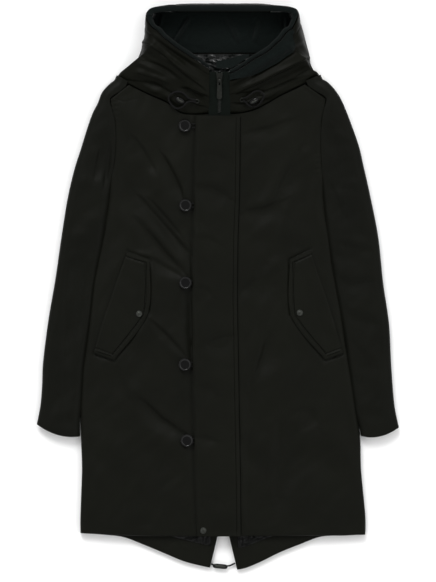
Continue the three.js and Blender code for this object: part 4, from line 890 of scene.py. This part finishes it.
def add_sleeve(name, rows, seed):
    def outside(u, v):
        s = 2 * u - 1
        p = sleeve_section(rows, s, v)
        middle = p["height"] / 2
        below = middle * (1 - clamp01(round_off(p["distance"], 12) * np.maximum(p["lift"], 0)))
        inside = smooth((p["distance"] - 6) / 20) * smooth((p["inner"] - 3) / 14)
        rise = 1.5 * np.sin(math.pi * clamp01(p["distance"] / p["width"]))
        x, y = p["x"], p["y"]
        soft = 0.8 * ripples(x, y, 85, seed) + 0.45 * ripples(x, y, 40, seed + 1, 0.25, 1.7)
        folds = FOLD_SHARE * fold_height(FOLDS, x, y) + creases(SLEEVE_CREASES, x, y)
        cuff = 1 - smooth((v - 0.95) / 0.04)
        hem = 1 - 0.25 * (1 - round_off(1 - v, 0.012))
        above = middle + (middle - 0.6) * p["lift"] * hem + inside * (folds + rise + soft * cuff)
        return x, y, np.where(s > 0, below, above + np.where(s < -0.97, 0.3, 0))

    def inside(u, v):
        s = 2 * u - 1
        p = sleeve_section(rows, s, v)
        keep = np.minimum(SLEEVE_WALL, p["width"] / 3)
        start = np.minimum(np.maximum(p["distance"], keep), p["width"] - mix(0, 9, p["closed"]))
        fraction = start / p["width"]
        out_x, out_y, in_x, in_y = p["ends"]
        bow = 9 * smooth((v - 0.93) / 0.07) * 4 * fraction * (1 - fraction)
        slit = SLEEVE_SLIT * np.minimum(1, np.abs(s) / 0.3 + 0.001) * np.where(s > 0, -0.5, 0.5)
        return mix(out_x, in_x, fraction), mix(out_y, in_y, fraction) - bow, p["height"] / 2 + slit

    # The sleeves take the darker copy of the twill, which is painted shade.
    piece = make_piece(name + "_cloth", *wall(outside, inside, 96, 220), SLEEVE_SHELL_SHADED, "shell", [name], sharp=65)
    return piece


# The hood: two side panels and a crown strip, with the lining and rim on the same stations
def hood_profile(rows, u, w):
    base = [column(rows, k, u) for k in ("x", "y", "z")]
    rim = [column(rows, k, u) for k in ("rimX", "rimY", "rimZ")]
    steep = smooth((u - 0.3) / 0.35)
    rise = mix(w ** 0.72, np.sin(w * math.pi / 2), 0.5 * steep)
    bulge = mix(0.02, 0.06, steep) * np.sin(math.pi * w)
    lap = -ZIP_LAP * np.sign(rows["x"][0]) * (1 - smooth(u / 0.03))
    x = mix(base[0], rim[0], w) + (base[0] - rim[0]) * bulge + lap
    y = mix(base[1], rim[1], w) + (base[1] - rim[1]) * bulge * (1 - steep)
    return np.stack(np.broadcast_arrays(x, y, mix(base[2], rim[2], rise)), axis=-1)


def hood_normal(rows, u, w, sign):
    h = 0.01
    a = hood_profile(rows, np.minimum(1, u + h), w) - hood_profile(rows, np.maximum(0, u - h), w)
    b = hood_profile(rows, u, np.minimum(1, w + h)) - hood_profile(rows, u, np.maximum(0, w - h))
    n = sign * np.cross(a, b)
    return n / np.linalg.norm(n, axis=-1, keepdims=True)


def hood_point(rows, u, w, depth, sign, raised, extra=0.0):
    p = hood_profile(rows, u, w)
    fold = extra
    if raised:
        fold = fold + fold_height(HOOD_FOLDS, p[..., 0], p[..., 1]) * smooth(w / 0.12) * smooth((1 - w) / 0.12)
    p = p + hood_normal(rows, u, w, sign) * np.asarray(fold - depth)[..., None]
    floor = np.where(column(rows, "z", u) > 8, BACK_TOP + 0.6, 0.0)
    return p[..., 0], p[..., 1], np.maximum(floor, p[..., 2])


def hood_relief(rows, u, w):
    p = hood_profile(rows, u, w)
    x, y = p[..., 0], p[..., 1]
    soft = 0.7 * ripples(x, y, 50, 11, 0.6, 2.0) + 0.35 * ripples(x, y, 24, 12, 0.6, 1.6)
    small = fold_height(HOOD_SMALL_FOLDS, x, y) + creases(HOOD_CREASES, x, y)
    edge = smooth(w / 0.08) * smooth((1 - w) / 0.10)
    along = u * 620
    across = (1 - w) * np.hypot(column(rows, "x", u) - column(rows, "rimX", u), column(rows, "y", u) - column(rows, "rimY", u))
    topstitch = -0.8 * np.exp(-((across - 11) / 1.6) ** 2)
    pucker = 0.22 * np.sin(math.tau * along / 8) * np.exp(-((across - 11) / 7) ** 2)
    return edge * (soft + small) + (topstitch + pucker) * smooth(across / 4)


def add_hood_side(name, rows, sign):
    def upper(u, w):
        return hood_point(rows, u, w, 0, sign, True, hood_relief(rows, u, w))

    def lower(u, w):
        return hood_point(rows, u, w, HOOD_WALL, sign, False)

    # The hood side takes the darker copy of the twill, which is painted shade.
    piece = make_piece(name + "_cloth", *wall(upper, lower, 170, 90), HOOD_SHELL_SHADED, "shell", [name], sharp=65)
    return piece


def add_hood_layer(name, rows, sign, material, layer):
    outer, inner, start, end_u, count, raised = (layer[k] for k in ("outer", "inner", "start", "end_u", "count", "raised"))

    def surface(depth, rough):
        def at(a, b):
            u = end_u * a
            w = mix(start(u), 1, b)
            p = hood_profile(rows, u, w)
            soft = rough * (0.55 * ripples(p[..., 0], p[..., 1], 26, 21) + 0.25 * ripples(p[..., 0], p[..., 1], 12, 22))
            edge = smooth(b / 0.15) * smooth((1 - b) / 0.2)
            return hood_point(rows, u, w, depth, sign, raised, edge * soft)
        return at

    looks = (surface(outer, layer["outer_rough"]), surface(inner, layer["inner_rough"]))
    piece = make_piece(name + "_cloth", *wall(*looks, *count), material, "fleece", [name], sharp=65)
    return piece


def add_crown():
    left, right = -77.8 - CROWN_LAP, 98.8 + CROWN_LAP

    def at(y_name, z_name, rough):
        def point(u, v):
            x = mix(left, right, u)
            swell = rough * (0.5 * ripples(x, 300 * v, 45, 31) + 0.2 * ripples(x, 300 * v, 18, 32))
            swell = swell * smooth(v / 0.1) * smooth((1 - v) / 0.1) * smooth(u / 0.05) * smooth((1 - u) / 0.05)
            y, z = column(CROWN, y_name, v), column(CROWN, z_name, v)
            upright = smooth((v - 0.35) / 0.2)
            ends = 1 - smooth(u / 0.16) * smooth((1 - u) / 0.16)
            return x, y + (0.6 * swell - 1.4 * ends) * upright, np.maximum(0, z)
        return point

    outer, inner = at("outY", "outZ", 1), at("inY", "inZ", 0)
    # The crown takes the darker copy of the twill, which is painted shade.
    piece = make_piece("hood_crown_cloth", *wall(outer, inner, 60, 90), HOOD_SHELL_SHADED, "shell", ["hood_crown"], sharp=65)

    def lining(offset, rough):
        def point(u, v):
            t = mix(0.52, 1, v)
            x = mix(left - CROWN_LAP, right + CROWN_LAP, u)
            soft = rough * 0.5 * ripples(x, 120 * v, 22, 33) * smooth(v / 0.1) * smooth((1 - v) / 0.15)
            return x, column(CROWN, "inY", t) - offset - soft, column(CROWN, "inZ", t)
        return point

    layers = (lining(LINING_GAP, 0), lining(LINING_GAP + LINING_WALL, 1))
    piece = make_piece("hood_lining_crown_cloth", *wall(*layers, 70, 24), FLEECE, "fleece", ["hood_lining_crown"])

    def floor_lining(z, rough):
        def point(u, v):
            narrow = 8 * smooth((v - 0.7) / 0.3)
            x, y = mix(-124 + narrow, 142 - narrow, u), mix(446, 523, v)
            inside = smooth(u / 0.06) * smooth((1 - u) / 0.06) * smooth(v / 0.08) * smooth((1 - v) / 0.08)
            wave = 0.9 * np.sin(5 * math.pi * u) * np.sin(math.pi * v)
            folds = 3.5 * fold_height(LINING_FOLDS, x, y) + 0.5 * ripples(x, y, 22, 34)
            return x, y, z + rough * inside * (wave + folds)
        return point

    layers = (floor_lining(10.9, 1), floor_lining(8.5, 0))
    piece = make_piece("hood_lining_floor_cloth", *wall(*layers, 150, 56), FLEECE, "fleece", ["hood_lining_floor"])


def add_binding():
    half_width, half_height = 5.6, 3.6
    middle = (HOOD_WALL + LINING_GAP + LINING_WALL) / 2
    u = np.linspace(0, 1, 120)
    rings = []
    for rows, sign, order in ((HOOD_RIGHT, -1, 1), (HOOD_LEFT, 1, -1)):
        rim = hood_profile(rows, u, 1.0)
        n = hood_normal(rows, u, np.ones_like(u), sign)
        t = rim - hood_profile(rows, u, 0.985)
        t /= np.linalg.norm(t, axis=1)[:, None]
        centre = rim - middle * n + (half_height + 1) * t
        rings.append([a[::order] for a in (centre, n, t)])
    centre, n, t = (np.concatenate(pair) for pair in zip(*rings))
    sides = 24
    angle = np.linspace(0, math.tau, sides, endpoint=False)[None, :, None]
    along = np.arange(len(centre))[:, None, None]
    swell = 1 + 0.05 * np.sin(along / 2.3 + 0.8 * np.sin(along / 7)) + 0.04 * np.sin(along / 5.1 + 2 * angle)
    ring = half_width * np.cos(angle) * n[:, None] + half_height * np.sin(angle) * t[:, None]
    points = (centre[:, None] + swell * ring).reshape(-1, 3)
    faces = [list(f) for f in quads(len(centre) - 1, sides, ring=True)]
    faces += [list(range(sides))[::-1], [len(points) - sides + k for k in range(sides)]]
    piece = make_piece("hood_edge_binding_cloth", points, faces, FLEECE, "fleece", ["hood_edge_binding"])


def add_neck_pieces():
    def lining(z, rough):
        def point(u, v):
            x, y = mix(-62, 104, u), mix(372, 443, v)
            inside = smooth(u / 0.05) * smooth((1 - u) / 0.05) * smooth(v / 0.08) * smooth((1 - v) / 0.08)
            crush = 0.9 * ripples(x, y, 17, 41) + 0.5 * ripples(x, y, 8, 42)
            return x, y, z + rough * inside * (0.7 * np.sin(7 * u * math.pi) + crush)
        return point

    layers = (lining(12.4, 1), lining(10.5, 0))
    piece = make_piece("neck_lining_cloth", *wall(*layers, 110, 50), SHINY, "smooth_lining", ["neck_lining"])

    def stand(lift, rough):
        def point(u, v):
            x = mix(-2, 60, u)
            low, high = 414.4 + 20 * smooth((x - 22) / 40), 429 + 12 * smooth(x / 60)
            y = mix(low, high, v)
            soft = 0.35 * rough * ripples(x, y, 20, 43) * smooth(u / 0.1) * smooth((1 - u) / 0.1)
            return x, y, 43 - 6 * v + 3 * u + lift + soft
        return point

    layers = (stand(0, 1), stand(-3, 0))
    piece = make_piece("collar_stand_cloth", *wall(*layers, 50, 16), FLEECE, "fleece", ["collar_stand"])




# The placket, the pocket flaps and the tail
def placket_base(x, y):
    left, right = column_at_y(PLACKET_EDGES, "left", y), column_at_y(PLACKET_EDGES, "right", y)
    inward = np.minimum(x - left, right - x)
    lift = mix(1, PLACKET_LIFT, smooth(inward / 9))
    low = front_top(x, y) + lift
    return low, low + PLACKET_THICKNESS * mix(0.72, 1, round_off(inward, 5)), x - left, right - x


def placket_top(x, y):
    low, high, from_left, from_right = placket_base(x, y)
    inside = smooth(np.minimum(from_left, from_right) / 5)
    ends = smooth((325 - y) / 5) * smooth((y - HEM_Y - 2) / 6)
    dips = creases(PLACKET_CREASES, x, y) + 0.4 * ripples(x, y, 60, 51, 0.1, 1.4)
    groove = -1.5 * np.exp(-((from_right - 7.6) / 1.5) ** 2)
    edge_roll = 0.3 * np.exp(-((from_left - 4) / 3) ** 2)
    pucker = 0.20 * np.sin(math.tau * y / 8.5 + 1.2 * np.sin(y / 17)) * np.exp(-((from_right - 7.6) / 5) ** 2)
    return high + ends * inside * (dips + groove + edge_roll + pucker)


def add_placket():
    def place(u, v):
        y = mix(325, HEM_Y - 1, v)
        left, right = column_at_y(PLACKET_EDGES, "left", y), column_at_y(PLACKET_EDGES, "right", y)
        return mix(left, right, crowd_ends(u, 0.6)), y

    def upper(u, v):
        x, y = place(u, v)
        return x, y, placket_top(x, y)

    def lower(u, v):
        x, y = place(u, v)
        return x, y, placket_base(x, y)[0]

    piece = make_piece("placket_cloth", *wall(upper, lower, 52, 300), SHELL, "shell", ["placket"])


def flap_place(rows, u, v):
    return (
        mix(column(rows, "outX", v), column(rows, "inX", v), u),
        mix(column(rows, "outY", v), column(rows, "inY", v), u),
    )


def flap_edges(rows):
    """The stitched outline of a flap: along its top, down its inner side and along its bottom."""
    top = [flap_place(rows, u, 0.0) for u in np.linspace(0.1, 1, 12)]
    side = [flap_place(rows, 1.0, v) for v in np.linspace(0.02, 1, 40)]
    bottom = [flap_place(rows, u, 1.0) for u in np.linspace(0.96, 0.1, 12)]
    return [(float(x), float(y)) for x, y in top + side + bottom]


def flap_top(rows, x, y, edge):
    outline = flap_edges(rows)
    d, along, _ = distance_to(outline, x, y)
    groove = -1.7 * np.exp(-((d - 8.5) / 1.6) ** 2)
    pucker = 0.18 * np.sin(math.tau * along / 8) * np.exp(-((d - 8.5) / 5) ** 2)
    soft = 0.35 * ripples(x, y, 45, 61) * smooth((d - 12) / 14)
    return front_top(x, y) + FLAP_LIFT + FLAP_THICKNESS * mix(0.75, 1, smooth(edge / 0.06)) + smooth(edge / 0.03) * (groove + pucker + soft)


def add_pocket_flap(name, rows):
    def upper(u, v):
        x, y = flap_place(rows, u, v)
        return x, y, flap_top(rows, x, y, np.minimum(np.minimum(u, 1 - u), np.minimum(v, 1 - v)))

    def lower(u, v):
        x, y = flap_place(rows, u, v)
        return x, y, front_top(x, y) + FLAP_LIFT

    piece = make_piece(name + "_cloth", *wall(upper, lower, 84, 150), SHELL, "shell", [name])


def add_tail(side, sign, hem):
    def vent(y):
        return CENTRE_BACK_X + sign * (2 + np.maximum(0, VENT_TOP_Y - y) * 0.24)

    def facing(z, rough):
        def point(u, v):
            at = mix(0.1, 0.97, u)
            x, y = column(hem, "x", at), column(hem, "y", at)
            deep = 10 + 28 * smooth(u / 0.8)
            soft = rough * 0.25 * (1 + ripples(x, y + v * deep, 16, 71)) * np.sin(math.pi * v) * np.sin(math.pi * u)
            x = sign * np.maximum(sign * (x - sign * 1.5), sign * vent(y + v * deep))
            return x, y + 2 + v * deep, z + soft
        return point

    layers = (facing(BACK_TOP + 0.7, 1), facing(BACK_TOP + 0.3, 0))
    name = f"tail_facing_{side}"
    piece = make_piece(name + "_cloth", *wall(*layers, 100, 16), SHELL, "shell", [name])

    def lining(z, rough):
        def point(u, v):
            at = mix(0.2, 0.97, u)
            x, y = column(hem, "x", at), column(hem, "y", at)
            low = y + 12.6 + 28 * smooth((at - 0.1) / 0.87 / 0.8)
            y = mix(low, np.maximum(low + 3, HEM_Y + 26), v)
            x = sign * np.maximum(sign * (x - sign * 4), sign * vent(y))
            crush = 0.35 * (1.2 + ripples(x, y, 14, 72) + 0.5 * ripples(x, y, 7, 73))
            edge = smooth(u / 0.05) * smooth((1 - u) / 0.05) * smooth(v / 0.08) * smooth((1 - v) / 0.08)
            return x, y, z + rough * edge * crush
        return point

    layers = (lining(BACK_TOP + 0.7, 1), lining(BACK_TOP + 0.3, 0))
    name = f"tail_lining_{side}"
    # The tail lining takes the darkened copy of the satin, which is painted shade under the hem.
    piece = make_piece(name + "_cloth", *wall(*layers, 110, 40), TAIL_SATIN_SHADED, "smooth_lining", [name])


# The zip
def zip_height(y):
    rise = clamp01((y - 329) / (ZIP_TOP_Y - 329))
    return front_top(np.full_like(y, CENTRE_FRONT_X), np.minimum(y, 326)) + ZIP_LIFT + 18 * rise


def add_zip_tape(side, start, end):
    def at(lift):
        def point(u, v):
            y = mix(ZIP_TOP_Y, -400.0, v)
            bulge = 0.35 * np.sin(math.pi * u) * smooth((y - 329) / 8) if lift else 0
            return mix(start, end, u), y, zip_height(y) + lift + bulge
        return point

    name = f"zip_tape_{side}"
    piece = make_piece(name + "_cloth", *wall(at(ZIP_TAPE), at(0), 10, 300), TAPE, "zip_tape", [name])


def block(centre, half, axes, bevel=0.35):
    """A small block with all its edges cut back: 24 points and 26 faces about a centre."""
    points, faces = [], []
    shape = bmesh.new()
    bmesh.ops.create_cube(shape, size=2.0)
    for v in shape.verts:
        v.co = Vector((v.co.x * half[0], v.co.y * half[1], v.co.z * half[2]))
    bmesh.ops.bevel(shape, geom=shape.edges[:], offset=bevel, segments=1, affect="EDGES")
    shape.verts.index_update()
    for v in shape.verts:
        points.append(np.asarray(centre) + np.array(v.co) @ np.asarray(axes))
    for f in shape.faces:
        faces.append([v.index for v in f.verts])
    shape.free()
    return points, faces


def joined(parts):
    points, faces = [], []
    for p, f in parts:
        faces += [[len(points) + k for k in face] for face in f]
        points += list(p)
    return points, faces


def add_zip_teeth():
    """Two rows of moulded teeth that mesh in the middle, with a stop at the top of each tape."""
    slope = math.atan2(18, ZIP_TOP_Y - 329)
    axes = [(1, 0, 0), (0, math.cos(slope), math.sin(slope)), (0, -math.sin(slope), math.cos(slope))]
    parts = []
    pitch = 2.7
    for k in range(20):
        for sign in (-1, 1):
            y = 331.5 + pitch * (k + 0.25 * (1 + sign))
            z = float(zip_height(np.array(y))) + ZIP_TAPE + 0.85
            parts.append(block((3.5 + sign * 1.35, y, z), (1.9, 0.62, 0.85), axes, 0.25))
    for sign in (-1, 1):
        z = float(zip_height(np.array(404.5))) + ZIP_TAPE + 0.9
        parts.append(block((3.5 + sign * 4.6, 404.4, z), (1.5, 1.7, 0.95), axes, 0.45))
    make_piece("zip_teeth", *joined(parts), TEETH, "zip_metal", sharp=30)


# Buttons, snaps and eyelets
def add_buttons():
    flare = BUTTON_RADIUS
    profile = [
        (0, 0), (3, 0), (3, 3.2), (flare - 2.4, 3.4), (flare - 0.9, 3.8), (flare - 0.2, 4.6), (flare, 5.4),
        (flare - 0.15, 6.4), (flare - 0.45, 6.95), (flare - 1.45, BUTTON_HEIGHT), (flare - 1.7, 7.4),
        (flare - 1.9, 6.7), (flare - 2.1, 6.0), (flare - 2.8, 5.75), (flare - 5, 5.7), (1.5, 5.7), (0, 5.7),
    ]
    for k, (x, y) in enumerate(zip(BUTTONS["x"], BUTTONS["y"]), 1):
        points, faces = lathe(profile, 72)
        points = seat_on(points, x, y, front_top, 1.2)
        make_piece(f"button_{k}_turned", points, faces, PLASTIC, "button", [f"button_{k}"], sharp=60)
        edge = float(column_at_y(PLACKET_EDGES, "left", y)) - 0.3
        bend = 4.9
        route = [
            (edge, 3.4), (x + 7, 3.9), (x + 1, bend), (x - 3.6, 3.1), (x - bend, 0), (x - 3.6, -3.1),
            (x + 1, -bend), (x + 7, -3.9), (edge, -3.4),
        ]
        line = curve_points([(px, y + py, float(front_top(px, y + py)) + 2.6) for px, py in route], 0.8)
        make_piece(f"button_loop_{k}_cord", *tube_mesh(line, LOOP_RADIUS, 12), CORD, "elastic_cord", [f"button_loop_{k}"])


def add_snaps():
    r = SNAP_RADIUS
    profile = [
        (0, 0), (r, 0), (r, 0.6), (r - 0.3, 1.2), (r - 0.9, 1.65), (r - 1.6, 1.75), (r - 2.1, 1.55), (r - 2.6, 1.5),
        (r - 3.2, 1.85), (r - 4.6, 2.05), (0, 2.1),
    ]
    flaps = {"snap_pocket_right": (-149, -51), "snap_pocket_left": (156, -49)}
    places = {"snap_hem": (-27, -462, lambda x, y: placket_base(x, y)[1])}
    for name, (x, y) in flaps.items():
        places[name] = (x, y, lambda x, y: front_top(x, y) + FLAP_LIFT + FLAP_THICKNESS)
    for name, (x, y, height) in places.items():
        points, faces = lathe(profile, 64)
        make_piece(name + "_cap", seat_on(points, x, y, height, 0.35), faces, SNAP_METAL, "snap", [name], sharp=60)


def hood_height(rows, sign, x, y):
    """The outer face of the hood over one place, found on its own stations."""
    u, w = np.meshgrid(np.arange(0, 0.4001, 0.01), np.arange(0.02, 1.0001, 0.02))
    px, py, pz = hood_point(rows, u, w, 0, sign, True)
    return pz.flat[np.argmin(np.hypot(px - x, py - y))]


def cord_curve(name, points, radius, node):
    """A free cord as one open curve along the points of its solid."""
    data = bpy.data.curves.new(name, "CURVE")
    data.dimensions = "3D"
    data.bevel_depth = radius * MM
    data.bevel_resolution = 5
    data.use_fill_caps = True
    line = curve_points(points, 2.0)
    spline = data.splines.new("POLY")
    spline.points.add(len(line) - 1)
    for point, place in zip(spline.points, line):
        point.co = (*(place * MM), 1)
    spline.use_smooth = True
    data.materials.append(CORD)
    piece = bpy.data.objects.new(name, data)
    bpy.context.scene.collection.objects.link(piece)
    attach(piece, COAT)
    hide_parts(node)
    length = np.linalg.norm(np.diff(line, axis=0), axis=1).sum() * MM
    return length


def lens(half_long, half_wide, tall, rings=14, segments=48):
    """A lens-shaped cord lock about the origin, flat below and domed above with a soft rim."""
    points, faces = [], []
    profile = [(0, 0), (0.90, 0), (0.97, 0.12), (1.0, 0.32), (0.985, 0.5)]
    for k in range(1, rings + 1):
        a = math.pi / 2 * k / rings
        profile.append((0.985 * math.cos(a) ** 0.9 if k < rings else 0.0, 0.5 + 0.5 * math.sin(a)))
    angle = np.linspace(0, math.tau, segments, endpoint=False)
    for r, z in profile:
        for a in angle:
            points.append((half_long * r * math.cos(a), half_wide * r * math.sin(a), tall * z))
    faces = quads(len(profile) - 1, segments, ring=True)
    return np.array(points), faces


def bar(half_long, half_wide, half_tall, segments=32):
    """A rounded bar about the origin, with ends drawn in."""
    line = [(x, 0.0, 0.0) for x in np.linspace(-half_long, half_long, segments)]
    t = np.linspace(-1, 1, segments)
    radius = half_wide * np.sqrt(np.maximum(0.03, 1 - np.abs(t) ** 6))
    points, faces = tube_mesh(line, radius, 20, half_tall / half_wide)
    return points, faces


def add_hood_trims():
    for trim in HOOD_TRIMS:
        side, rows, sign = trim["side"], trim["rows"], trim["sign"]

        def height(x, y):
            return hood_height(rows, sign, x, y)

        profile = [(2.2, 0), (4.6, 0), (4.6, 0.5), (4.2, 1.0), (3.4, 1.3), (2.7, 1.15), (2.2, 0.7), (2.2, 0)]
        points, faces = lathe(profile, 40)
        points = seat_on(points, *trim["eyelet"], height, 1.15)
        make_piece(f"hood_eyelet_{side}_ring", points, faces, METAL, "snap", [f"hood_eyelet_{side}"])
        x, y, turn, lift = trim["lock"]
        points, faces = lens(10, 5.6, 7)
        points = seat_on(points, x, y, height, lift, turn)
        node = f"hood_cord_lock_{side}"
        lock = make_piece(f"{node}_shell", points, faces, LOCK_PLASTIC, "button", [node])
        # The lighter metal bar on the lock's top is a painted highlight along the lock.
        points, faces = bar(6.2, 1.9, 1.1)
        points = seat_on(points + np.array([0, 0, 7.1]), x, y, height, lift, turn)
        button = make_piece(f"{node}_bar", points, faces, SNAP_METAL, "button")
        heights = [height(*p) for p in trim["route"]]
        top = max(heights)
        route = [(px, py, mix(h, top, 0.3) + CORD_LIFT) for (px, py), h in zip(trim["route"], heights)]
        cord_curve(f"hood_cord_{side}_braid", route, CORD_RADIUS, f"hood_cord_{side}")


def add_hem_cord():
    def lying(points, z):
        turn = math.radians(-5)
        c, s = math.cos(turn), math.sin(turn)
        x, y = points[:, 0], points[:, 1]
        return np.stack([5 + c * x - s * y, -531.6 + s * x + c * y, points[:, 2] + z], axis=1)

    points, faces = bar(14.2, 4.5, 2.3)
    points = lying(points, HEM_CORD_Z + CORD_RADIUS + 2.8)
    lock = make_piece("hem_cord_lock_shell", points, faces, LOCK_PLASTIC, "button", ["hem_cord_lock"])
    # The lighter metal bar on the lock's top is a painted highlight along the lock.
    points, faces = bar(10.2, 2.2, 0.9)
    points = lying(points, HEM_CORD_Z + CORD_RADIUS + 4.8)
    shine = make_piece("hem_cord_lock_bar", points, faces, SNAP_METAL, "button")
    route = [(x, y, HEM_CORD_Z) for x, y in zip(HEM_CORD_ROUTE["x"], HEM_CORD_ROUTE["y"])]
    cord_curve("hem_cord_braid", route, CORD_RADIUS, "hem_cord")


# Sewing threads along the topstitched lines; the very dark thread in the placket's ditch and round the flaps is painted
# seam shade
def on_surface(line, height, lift=0.18):
    return [(x, y, float(height(np.array(x), np.array(y))) + lift) for x, y in line]


def add_threads():
    ys = np.linspace(322, HEM_Y + 2, 300)
    seam = [(float(column_at_y(PLACKET_EDGES, "right", y)) - 7.6, float(y)) for y in ys]
    ditch = [(x + 8.4, y) for x, y in seam]
    stitches("placket_stitches", [on_surface(seam, placket_top)], TOPSTITCH)
    # The stitches in the ditch use the very dark thread as a painted shade line along the seam.
    stitches("placket_seam_stitches", [on_surface(ditch, front_height)], SEAM_SHADE_THREAD)
    lines = []
    for rows in (FLAP_RIGHT, FLAP_LEFT):
        way = np.sign(rows["inX"][1] - rows["outX"][1])
        corner = [flap_place(rows, *uv) for uv in ((0.06, 0.055), (0.90, 0.05), (0.915, 0.5), (0.78, 0.955), (0.10, 0.955))]
        line = []
        for (x1, y1), (x2, y2) in zip(corner[:-1], corner[1:]):
            line += [(float(mix(x1, x2, t)), float(mix(y1, y2, t))) for t in np.linspace(0, 1, 30)[:-1]]
        lines.append(on_surface(line, lambda x, y, r=rows: flap_top(r, x, y, np.array(0.2))))
    # The flap outlines use the very dark thread as painted edge shade.
    stitches("flap_stitches", lines, SEAM_SHADE_THREAD)


# The whole coat
add_hood_trims()
add_hem_cord()
add_back("back_right", SIDE_RIGHT, TAIL_RIGHT, -1)
add_back("back_left", SIDE_LEFT, TAIL_LEFT, 1)
add_front("front_right", SIDE_RIGHT, NECK_RIGHT, CENTRE_FRONT_X - SEAM_GAP, -1)
add_front("front_left", SIDE_LEFT, NECK_LEFT, CENTRE_FRONT_X + SEAM_GAP, 1)
add_sleeve("sleeve_right", SLEEVE_RIGHT, 81)
add_sleeve("sleeve_left", SLEEVE_LEFT, 91)
add_hood_side("hood_side_right", HOOD_RIGHT, -1)
add_hood_side("hood_side_left", HOOD_LEFT, 1)
add_crown()
for side, rows, sign in (("right", HOOD_RIGHT, -1), ("left", HOOD_LEFT, 1)):
    outer = HOOD_WALL + LINING_GAP
    add_hood_layer(f"hood_lining_{side}", rows, sign, FLEECE, {
        "outer": outer, "inner": outer + LINING_WALL, "end_u": 1, "count": (110, 36), "raised": False,
        "start": lambda u: mix(0.62, 0.14, smooth((u - 0.55) / 0.12)), "outer_rough": 0, "inner_rough": -1,
    })
add_hood_layer("hood_facing_left", HOOD_LEFT, 1, FLEECE, {
    "outer": -2.8, "inner": -1, "end_u": 10 / 17, "count": (110, 24), "raised": True,
    "start": lambda u: mix(0.86, 0.7, smooth(u / 0.2)) + 0.2 * smooth((u - 0.45) / 0.13),
    "outer_rough": 1, "inner_rough": 0,
})
add_binding()
add_neck_pieces()
add_zip_tape("right", -17.2, 3.1)
add_zip_tape("left", 3.9, 24.2)
add_zip_teeth()
add_placket()
add_pocket_flap("pocket_flap_right", FLAP_RIGHT)
add_pocket_flap("pocket_flap_left", FLAP_LEFT)
add_tail("right", -1, TAIL_RIGHT)
add_tail("left", 1, TAIL_LEFT)
add_buttons()
add_snaps()
add_threads()
for name in ("zip_slider", "zip_slider_bridge", "zip_pull"):
    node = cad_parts[name]
    node.data.materials.clear()
    node.data.materials.append(METAL)
